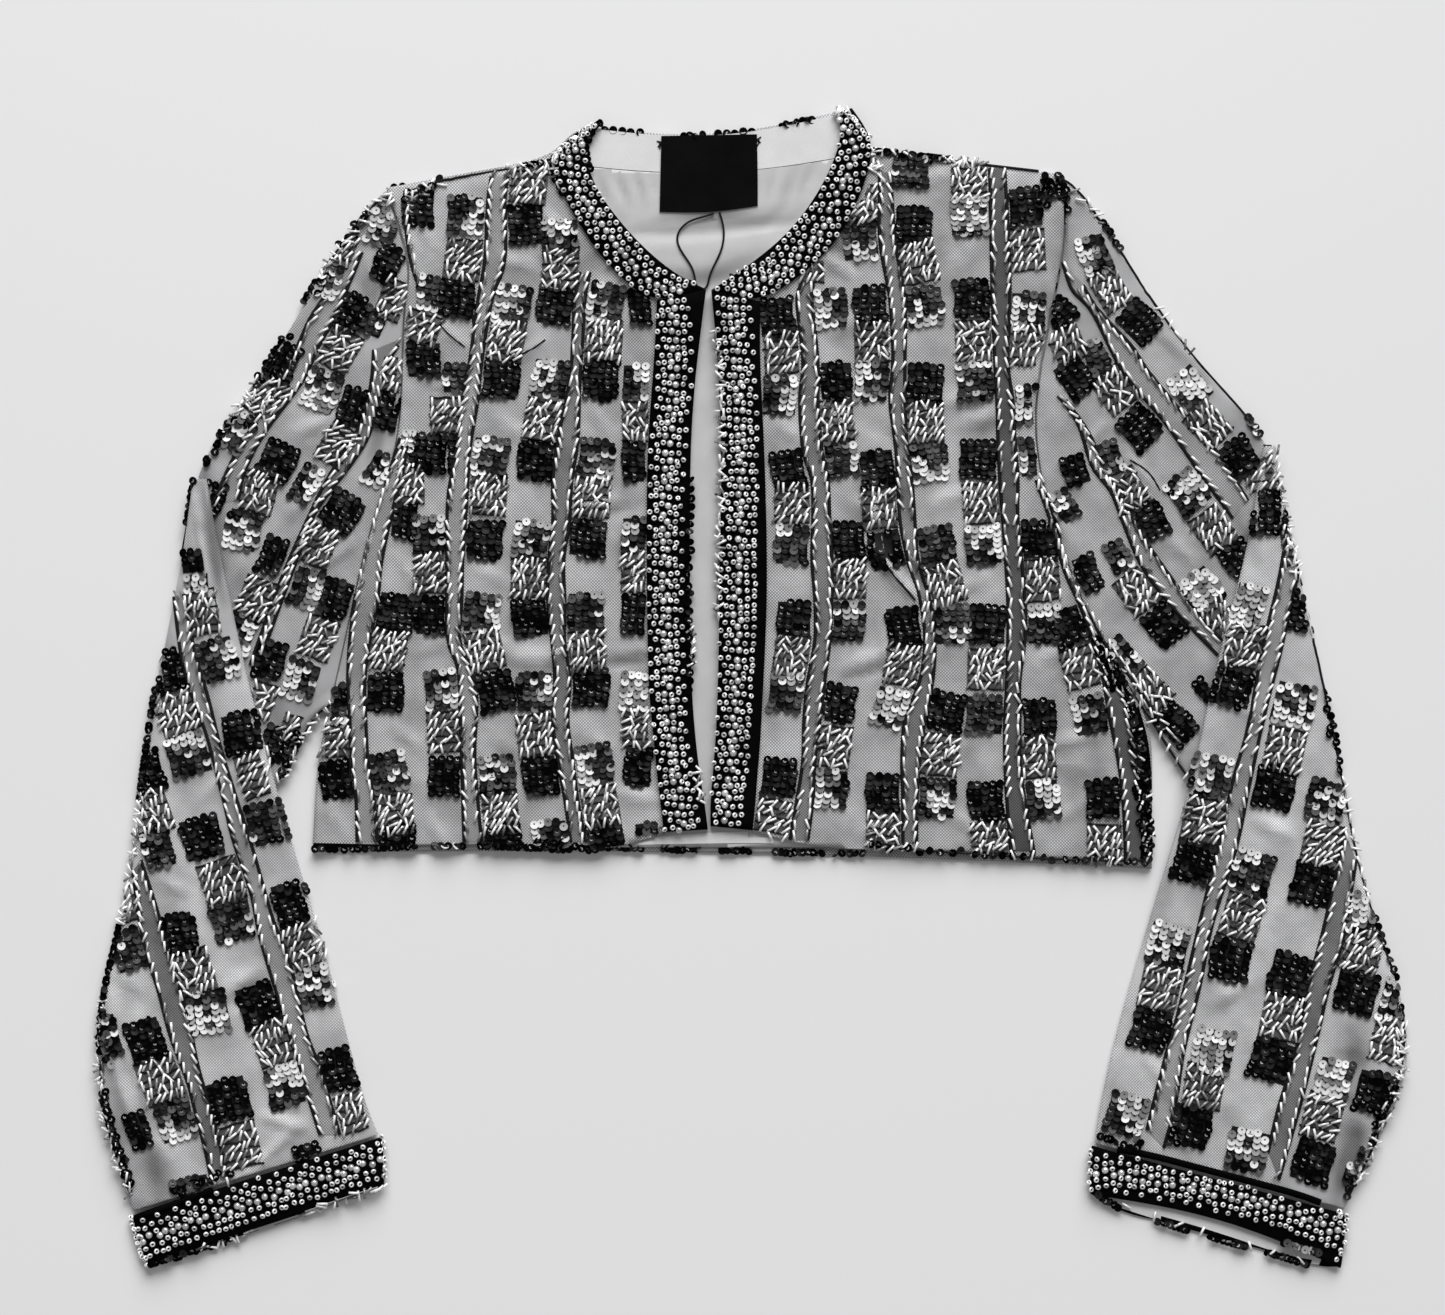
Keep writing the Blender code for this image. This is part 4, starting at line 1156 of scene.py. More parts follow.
def tube_along(run, thick, sides):
    """Return the points and faces of a cord through some places."""
    points, faces = [], []
    for index, place in enumerate(run):
        ahead = (run[min(index + 1, len(run) - 1)] - run[max(index - 1, 0)]).normalized()
        side = ahead.cross(UP).normalized()
        up = side.cross(ahead)
        for step in range(sides):
            turn = 2 * math.pi * step / sides
            out = side * math.cos(turn) + up * math.sin(turn)
            points.append(tuple(place + out * (thick / 2 * MM)))
    for index in range(len(run) - 1):
        for step in range(sides):
            near = index * sides + step
            beside = index * sides + (step + 1) % sides
            faces += [(near, beside, beside + sides), (near, beside + sides, near + sides)]
    return points, faces


def tube_on(pieces, line, thick, lift, sides=5):
    """Return the points and faces of a cord laid along a line on some pieces."""
    runs = [[]]
    for x, y in line:
        piece, place, normal = top_at(x, y)
        if piece in pieces:
            runs[-1].append(place + normal * (lift * MM))
        elif runs[-1]:
            runs.append([])
    tubes = Gathered()
    for run in runs:
        if len(run) > 1:
            tubes.add(tube_along(run, thick, sides))
    return tubes.points, tubes.faces


class Gathered:
    """Points and faces of one mesh, put together from several parts."""

    def __init__(self):
        """Start with nothing."""
        self.points = []
        self.faces = []

    def add(self, part):
        """Add the points and faces of one part."""
        points, faces = part
        base = len(self.points)
        self.points += points
        self.faces += [tuple(index + base for index in face) for face in faces]


GATHERED_LOOKS = {
    "channels": (NET_DARK, "beaded_net"),
    "palenets": (NET_PALE, "beaded_net"),
    "darknets": (NET_BLACK, "beaded_net"),
    "cords": (CORD, "beaded_net"),
    "threads": (CORD, "beaded_net"),
    "mats": (CORD, "beaded_net"),
    "grounds": (NET_SHADED, "beaded_net"),
    "lining": (FACING, "pale_lining"),
    "hem": (RIBBON, "beaded_net"),
}
gathered_parts = {}


def gathered(piece, what):
    """Return what has been gathered so far for one mesh of a piece."""
    return gathered_parts.setdefault((piece, what), Gathered())


def make_gathered():
    """Make all the gathered meshes."""
    for (piece, what), parts in gathered_parts.items():
        material, slot = GATHERED_LOOKS[what]
        finished(mesh_object(f"{piece}_{what}", parts.points, parts.faces, material), slot)


# Beads along a line: the share left out, their pitch, how far they stray to a side, and
# their lift. They lean by about LINE_LEAN, in radians, and the other way wherever a wave
# along the line is under LEAN_TURNS.
LINE_GAPS = 0.08
LINE_PITCH = 6.1
LINE_STRAY = 0.4
LINE_LIFT = 1.4
LINE_LEAN = 0.3
LEAN_WAVE = 0.23
LEAN_TURNS = -0.4
LEAN_SPREAD = 0.16


def bead_places(line, pitch):
    """Return the places and headings of beads sewn end to end along a line."""
    ends = smooth_line([tuple(point) for point in line], pitch * MM)
    for end, next_end in zip(ends, ends[1:]):
        run_x, run_y = next_end - end
        yield *((end + next_end) / 2), math.atan2(run_y, run_x)


def bugle_line(piece, line, offset, lean):
    """Sew bugle beads end to end along a line, each leaning across it."""
    sway = rng.uniform(0, 6)
    for index, (x, y, heading) in enumerate(bead_places(line, LINE_PITCH)):
        if rng.random() < LINE_GAPS:
            continue
        side = offset + rng.gauss(0, LINE_STRAY)
        x += -math.sin(heading) * side * MM
        y += math.cos(heading) * side * MM
        turn = -lean if math.sin(index * LEAN_WAVE + sway) > LEAN_TURNS else lean
        turn += rng.gauss(0, LEAN_SPREAD)
        lay(piece, "bugles", x, y, heading + turn, bugle_tone(), LINE_LIFT, rng.gauss(0, 0.05))


def paired(first, second, step):
    """Read two edge lines, given in pixels, at as many even steps each."""
    lines = [smooth_line([at(u, v) for u, v in line], step * MM) for line in (first, second)]
    even = np.linspace(0, 1, max(len(line) for line in lines))
    wide = []
    for line in lines:
        own = np.linspace(0, 1, len(line))
        wide.append(np.stack([np.interp(even, own, line[:, axis]) for axis in (0, 1)], 1))
    return wide


def sew_cord(piece, line):
    """Sew a black cord along a line."""
    gathered(piece, "cords").add(tube_on((piece,), line, LINE_THICK, 0.4))


def sew_channel(piece, left, right, look):
    """Sew one channel: its net, its two cords and its bugle beads."""
    wide = paired(left, right, STRIP_STEP)
    gathered(piece, look).add(strip_on(piece, wide, 0.25))
    for line, offset in ((wide[0], 1.3), (wide[1], -1.3)):
        sew_cord(piece, line)
        bugle_line(piece, line, offset, LINE_LEAN)


def near_turn(x, y, lines):
    """Return how far the nearest line is turned from straight up, in radians."""
    nearest, turn = math.inf, 0.0
    for line in lines:
        for first, second in zip(line, line[1:]):
            x0, y0 = at(*first)
            x1, y1 = at(*second)
            distance = math.hypot((x0 + x1) / 2 - x, (y0 + y1) / 2 - y)
            if distance < nearest:
                nearest, turn = distance, math.atan2(x1 - x0, y0 - y1)
    return turn


def sew_spots(piece, places, lines, grow):
    """Sew the blocks that are given one by one, as much wider and higher as grow says."""
    for spot in places:
        if spot.turn is None:
            turn = near_turn(*at(spot.u, spot.v), lines)
        else:
            turn = math.radians(-spot.turn)
        kind = "m" if spot.kind == "s" and lines else spot.kind
        block(piece, kind, spot.u, spot.v, spot.wide * grow[0], spot.high * grow[1], turn)


COLUMN_HIGH = 23.0
TURN_REACH = 20


def sew_column(piece, column, line):
    """Sew the blocks beside one line of a channel, turned as the line is there."""
    for row in column.rows.split():
        kind, v = row[0], float(row[1:])
        u = near_level(line, v) + column.offset
        lean = near_level(line, v + TURN_REACH) - near_level(line, v - TURN_REACH)
        turn = math.atan2(lean, 2 * TURN_REACH)
        block(piece, kind, u, v, column.wide, COLUMN_HIGH, turn)


def sew_fronts():
    """Sew all the beadwork of the two fronts."""
    for piece in ("front_left", "front_right"):
        sides = {}
        for front, name, look, crosses in FRONT_CHANNELS:
            if front == piece:
                left, right = two_lines(crosses)
                sew_channel(piece, left, right, look)
                sides[name] = {"left": left, "right": right}
        for column in FRONT_COLUMNS:
            if column.channel in sides:
                sew_column(piece, column, sides[column.channel][column.side])
        is_left = piece == "front_left"
        mine = [spot for spot in FRONT_SPOTS if (spot.u < ORIGIN_U) == is_left]
        sew_spots(piece, mine, (), (1.0, 1.0))


# A sleeve's channel: its piece, its net, and its left and right line in pixels.
SLEEVE_CHANNELS = (
    (
        "upper_left",
        "palenets",
        ((325, 296), (310, 318), (300, 340), (285, 370), (268, 398), (240, 445), (225, 475), (212, 505)),
        ((362, 252), (350, 282), (338, 312), (318, 347), (303, 380), (265, 432), (246, 468), (238, 500)),
    ),
    (
        "upper_left",
        "channels",
        ((374, 350), (371, 385), (360, 425), (328, 478), (312, 510), (287, 565), (268, 615), (250, 665)),
        ((403, 338), (386, 370), (371, 430), (352, 463), (316, 512), (294, 568), (273, 625), (262, 655)),
    ),
    (
        "lower_left",
        "palenets",
        (
            (172, 580), (181, 655), (192, 695), (207, 735), (224, 800), (233, 838), (251, 892),
            (261, 940), (280, 1003), (293, 1045), (305, 1085), (320, 1135),
        ),
        (
            (186, 600), (195, 650), (209, 697), (221, 745), (238, 800), (254, 850), (273, 918),
            (290, 962), (306, 1030), (318, 1062), (330, 1100), (340, 1135),
        ),
    ),
    (
        "lower_left",
        "channels",
        (
            (133, 870), (143, 940), (158, 990), (170, 1035), (187, 1080), (195, 1110), (205, 1150),
            (212, 1185),
        ),
        (
            (141, 860), (156, 905), (170, 955), (188, 1015), (198, 1064), (211, 1110), (225, 1165),
            (232, 1185),
        ),
    ),
    (
        "upper_right",
        "palenets",
        (
            (1063, 262), (1072, 290), (1092, 312), (1119, 365), (1138, 391), (1164, 421), (1200, 473),
            (1233, 518),
        ),
        (
            (1083, 285), (1098, 310), (1131, 345), (1148, 371), (1187, 418), (1210, 442), (1232, 474),
            (1248, 500),
        ),
    ),
    (
        "upper_right",
        "palenets",
        (
            (1058, 395), (1078, 424), (1092, 466), (1111, 492), (1124, 525), (1143, 568), (1175, 610),
            (1218, 655),
        ),
        (
            (1066, 400), (1089, 433), (1102, 464), (1120, 497), (1146, 541), (1168, 573), (1193, 606),
            (1222, 640),
        ),
    ),
    (
        "lower_right",
        "palenets",
        (
            (1286, 537), (1277, 585), (1267, 627), (1258, 671), (1246, 733), (1233, 778), (1218, 845),
            (1202, 912), (1188, 972), (1177, 1017), (1163, 1065), (1147, 1130),
        ),
        (
            (1302, 560), (1291, 605), (1280, 655), (1264, 716), (1249, 786), (1236, 848), (1212, 925),
            (1200, 985), (1184, 1050), (1176, 1100), (1164, 1148),
        ),
    ),
    (
        "lower_right",
        "channels",
        ((1345, 830), (1335, 876), (1323, 930), (1310, 980), (1295, 1055), (1279, 1105), (1268, 1152)),
        ((1356, 860), (1345, 930), (1328, 990), (1319, 1030), (1303, 1095), (1286, 1155), (1279, 1180)),
    ),
)

# The lines of cord and bugle beads along the sleeves' seams: piece and places.
EDGE_LINES = (
    ("upper_left", (405, 225), (406, 260), (414, 290)),
    ("upper_left", (402, 345), (403, 390), (398, 440), (386, 490), (370, 550), (359, 600), (352, 668)),
    ("front_left", (404, 205), (406, 230), (411, 262), (418, 284)),
    ("upper_left", (344, 716), (300, 745), (281, 788)),
    (
        "upper_right",
        (1040, 473), (1056, 521), (1068, 570), (1085, 606), (1104, 642), (1134, 684), (1178, 745),
    ),
    ("lower_left", (101, 1060), (104, 1110), (112, 1140), (123, 1168), (131, 1192)),
)

SLEEVE_SPOTS = {
    "upper_left": spots(
        ("b", 340, 248, 16, 18), ("s", 327, 277, 16), ("k", 280, 360), ("b", 267, 397, 18),
        ("s", 237, 432, 16), ("k", 207, 500, 17), ("k", 350, 312, 15), ("b", 340, 350, 18),
        ("s", 322, 390), ("k", 277, 462), ("b", 259, 492, 18), ("s", 243, 530), ("d", 373, 322, 14, 16),
        ("s", 383, 226, 15), ("k", 388, 264, 15), ("b", 392, 300, 14), ("k", 392, 412, 16),
        ("k", 352, 408, 14), ("b", 337, 445, 16), ("s", 306, 485, 12), ("k", 272, 556, 14),
        ("b", 255, 598, 17), ("s", 240, 632, 16), ("k", 342, 512), ("b", 318, 545, 18),
        ("s", 306, 588, 16), ("k", 335, 598, 16), ("b", 318, 638, 18), ("s", 300, 680, 18),
        ("k", 270, 660, 16), ("b", 262, 700, 13, 18), ("k", 274, 745, 15, 20), ("b", 290, 728, 10, 14),
        ("b", 392, 375, 10, 18), ("s", 378, 470, 12, 20),
    ),
    "upper_right": spots(
        ("s", 1094, 255, 16), ("b", 1110, 290, 16), ("k", 1140, 322, 18), ("s", 1190, 388, 18),
        ("b", 1208, 425, 18), ("k", 1240, 458, 18), ("s", 1257, 424, 9, 10), ("b", 1258, 484, 10, 14),
        ("k", 1057, 205, 14, 20), ("k", 1056, 310, 16), ("b", 1068, 345, 18, 19), ("k", 1075, 378, 16),
        ("d", 1098, 360, 12), ("b", 1115, 390, 18), ("k", 1140, 428), ("s", 1188, 492),
        ("b", 1214, 530, 18), ("k", 1240, 560, 18), ("k", 1075, 470, 14, 18), ("d", 1110, 456, 12, 18),
        ("b", 1128, 490, 17), ("k", 1150, 522, 18), ("w", 1202, 590), ("b", 1222, 618, 15),
        ("s", 1065, 506, 12, 18), ("k", 1088, 574, 13), ("d", 1118, 556, 12, 18), ("b", 1137, 592, 17),
        ("k", 1164, 626, 18), ("s", 1122, 655, 14), ("b", 1150, 690, 17), ("k", 1176, 724, 17),
        ("k", 1204, 690, 7, 14),
    ),
    "lower_left": spots(
        ("k", 193, 562, 11, 12), ("w", 198, 582, 12, 9), ("b", 203, 613, 15), ("s", 219, 660, 18),
        ("k", 165, 672, 17), ("b", 176, 712, 18), ("s", 188, 755), ("k", 202, 838), ("b", 222, 882),
        ("d", 232, 920), ("k", 258, 1005, 18), ("b", 274, 1042, 18), ("s", 285, 1086, 17),
        ("k", 145, 772, 17), ("b", 150, 812, 18), ("d", 158, 848, 14), ("k", 180, 935, 16),
        ("b", 193, 972, 18), ("s", 208, 1012), ("k", 229, 1100), ("b", 240, 1146, 18),
        ("b", 122, 900, 16), ("d", 128, 950, 15), ("k", 146, 1040, 16), ("b", 160, 1080, 18),
        ("s", 176, 1120, 17), ("d", 190, 1186, 18, 10), ("k", 243, 733, 17), ("b", 257, 774, 16),
        ("d", 268, 822, 18), ("k", 293, 902, 18), ("b", 305, 944, 17), ("s", 318, 985, 18),
        ("k", 342, 1068), ("b", 355, 1112, 16, 19), ("s", 110, 1035, 9), ("k", 138, 1129, 10, 19),
        ("k", 306, 1153, 13, 8),
    ),
    "lower_right": spots(
        ("b", 1271, 468, 12, 22, 0), ("k", 1268, 514, 17, 23, 0), ("b", 1288, 545, 6, 20, -8),
        ("w", 1248, 605, 14), ("b", 1243, 645, 17), ("k", 1232, 686, 18), ("s", 1209, 776, 19),
        ("b", 1203, 820, 18), ("k", 1192, 862, 18), ("s", 1168, 945, 18), ("b", 1160, 987, 18),
        ("k", 1150, 1030, 18), ("s", 1126, 1115, 18), ("k", 1308, 612, 16), ("s", 1294, 705),
        ("b", 1284, 750, 18), ("k", 1274, 788), ("s", 1252, 872), ("b", 1242, 917, 18),
        ("k", 1230, 960), ("w", 1213, 1050), ("b", 1203, 1087, 18), ("k", 1190, 1126),
        ("k", 1334, 728, 5, 9), ("s", 1326, 802, 18), ("b", 1322, 845, 17), ("k", 1312, 885),
        ("k", 1290, 975), ("b", 1282, 1017, 18), ("k", 1270, 1060), ("s", 1247, 1150),
        ("s", 1364, 912, 17), ("b", 1362, 950, 18), ("k", 1356, 992), ("w", 1334, 1080, 16),
        ("b", 1322, 1117, 17), ("k", 1313, 1162, 18), ("s", 1393, 1000, 12), ("b", 1388, 1040, 15),
        ("k", 1371, 1092, 14, 22), ("s", 1351, 1174, 8, 11),
    ),
}

UPPER_GROW = (1.1, 1.06)
LOWER_GROW = (1.28, 1.14)


def sew_sleeves():
    """Sew all the beadwork of the sleeves' upper sides."""
    for piece, places in SLEEVE_SPOTS.items():
        lines = []
        for channel_piece, look, left, right in SLEEVE_CHANNELS:
            if channel_piece == piece:
                sew_channel(piece, left, right, look)
                lines += [left, right]
        sew_spots(piece, places, lines, LOWER_GROW if piece.startswith("lower") else UPPER_GROW)
    for piece, *line in EDGE_LINES:
        places = smooth_line([at(u, v) for u, v in line], STRIP_STEP * MM)
        sew_cord(piece, places)
        bugle_line(piece, places, 1.2, LINE_LEAN)


class Sewing(NamedTuple):
    """How a band's rows of beads are set, all in millimetres.

    Every second row is shifted. The margins are left free at the row's start and end.
    """

    row_pitch: float
    bead_pitch: float
    margin: float
    shift: float
    far_margin: float


PLACKET_SEWING = Sewing(4.35, 3.9, 2.0, 3.0, 8.0)
NECK_SEWING = Sewing(4.9, 4.3, 2.2, 1.8, 2.4)
CUFF_SEWING = Sewing(4.5, 4.05, 3.6, 3.4, 7.0)

# Where the front bands' left and right edge cross the levels: v, left u, right u.
PLACKETS = {
    "band_left": (
        (302, 653, 699), (360, 655, 697), (400, 653, 693), (440, 649, 690), (480, 647, 690),
        (520, 646, 690), (600, 646, 691), (640, 647, 690), (700, 649, 692), (760, 654, 697),
        (800, 659, 702), (828, 663, 706),
    ),
    "band_right": (
        (300, 713, 757), (360, 717, 761), (400, 720, 763), (440, 721, 765), (480, 721, 767),
        (600, 717, 768), (640, 717, 767), (700, 715, 763), (740, 713, 760), (780, 709, 757),
        (822, 705, 752),
    ),
}

NECK_BANDS = {
    "neck_left": (
        (
            (592, 124), (570, 140), (553, 157), (552, 170), (560, 190), (575, 215), (600, 256),
            (632, 290), (660, 300),
        ),
        (
            (602, 121), (585, 140), (583, 150), (588, 170), (610, 210), (640, 245), (655, 262),
            (675, 275), (698, 284),
        ),
    ),
    "neck_right": (
        (
            (850, 112), (862, 125), (870, 140), (872, 155), (862, 190), (848, 225), (815, 265),
            (780, 290), (762, 300),
        ),
        (
            (838, 112), (842, 130), (838, 150), (820, 190), (800, 218), (775, 245), (760, 262),
            (735, 272), (714, 286),
        ),
    ),
}


# The beads and stones of a band: their heading and tilt in radians, greys and lifts.
BEAD_HEADING, BEAD_HEADING_SPREAD = 2.2, 0.9
BEAD_TONES = (0.6, 0.9, 0.97, 1.0)
BEAD_LIFT = 1.3
BEAD_TILTS = (0.15, 0.75)
STONE_TONES = (0.5, 0.97)
STONE_LIFT = 0.9
STONE_TILT = 0.2


def lay_bead(piece, x, y, kind):
    """Lay one round bead or stone of a band."""
    heading = rng.gauss(BEAD_HEADING, BEAD_HEADING_SPREAD)
    if kind == "stones":
        tone = rng.uniform(*STONE_TONES)
        lay(piece, kind, x, y, heading, tone, STONE_LIFT, rng.gauss(0, STONE_TILT))
    else:
        tone = rng.choice(BEAD_TONES)
        lay(piece, kind, x, y, heading, tone, BEAD_LIFT, rng.uniform(*BEAD_TILTS))


# A row is stretched to fill its band, each pitch by this much at the most. Its first bead
# starts no nearer the edge than FIRST_BEAD, and the last ends ROW_END before the other.
WIDEST_PITCH = 1.25
FIRST_BEAD = 1.4
ROW_END = 1.7

# A row has so many beads at the least, with a stone at STONE_STEP. They stray along the
# row and across it, there in waves too.
FEWEST_BEADS = 5
STONE_STEP = 2
REACH_STRAY = 0.4
BAND_WAVE, BAND_STRAY = 0.8, 0.45


def sew_band(piece, first, second, sewing):
    """Cover a band with rows across it: two beads, a stone and at least two beads."""
    edges = paired(first, second, sewing.row_pitch)
    sway = rng.uniform(0, 6)
    for index, (start, end) in enumerate(zip(*edges)):
        length = np.hypot(*(end - start))
        width = float(length) / MM
        across = (end - start) / length
        used = (FEWEST_BEADS - 1) * sewing.bead_pitch
        first_at = sewing.margin + (index % 2) * sewing.shift
        first_at = min(first_at, max(width - used - ROW_END, FIRST_BEAD))
        room = width - first_at - sewing.far_margin
        extra = max(0, int((room - used) / sewing.bead_pitch))
        pitch = max(room / (FEWEST_BEADS - 1 + extra), sewing.bead_pitch)
        pitch = min(pitch, WIDEST_PITCH * sewing.bead_pitch)
        for step in range(FEWEST_BEADS + extra):
            reach = first_at + step * pitch + rng.gauss(0, REACH_STRAY)
            wave = BAND_WAVE * math.sin(index * 0.8 + step * 0.9 + sway)
            wave += rng.gauss(0, BAND_STRAY)
            x = start[0] + across[0] * reach * MM - across[1] * wave * MM
            y = start[1] + across[1] * reach * MM + across[0] * wave * MM
            lay_bead(piece, x, y, "stones" if step == STONE_STEP else "beads")


def sew_bands():
    """Sew the beads of the front and neck bands and of the cuffs."""
    for piece, crosses in PLACKETS.items():
        sew_band(piece, *two_lines(crosses), PLACKET_SEWING)
    for piece, edges in NECK_BANDS.items():
        sew_band(piece, *edges, NECK_SEWING)
    for piece, edges in CUFF_EDGES.items():
        sew_band(piece, *edges, CUFF_SEWING)


CUFF_EDGES = {
    "cuff_left": (
        ((128, 1220), (160, 1208), (230, 1184), (300, 1160), (350, 1145), (386, 1134)),
        ((146, 1268), (190, 1252), (240, 1236), (300, 1215), (350, 1198), (388, 1186)),
    ),
    "cuff_right": (
        ((1090, 1147), (1140, 1154), (1200, 1165), (1300, 1190), (1345, 1210)),
        ((1091, 1196), (1150, 1200), (1200, 1208), (1260, 1230), (1330, 1256)),
    ),
}

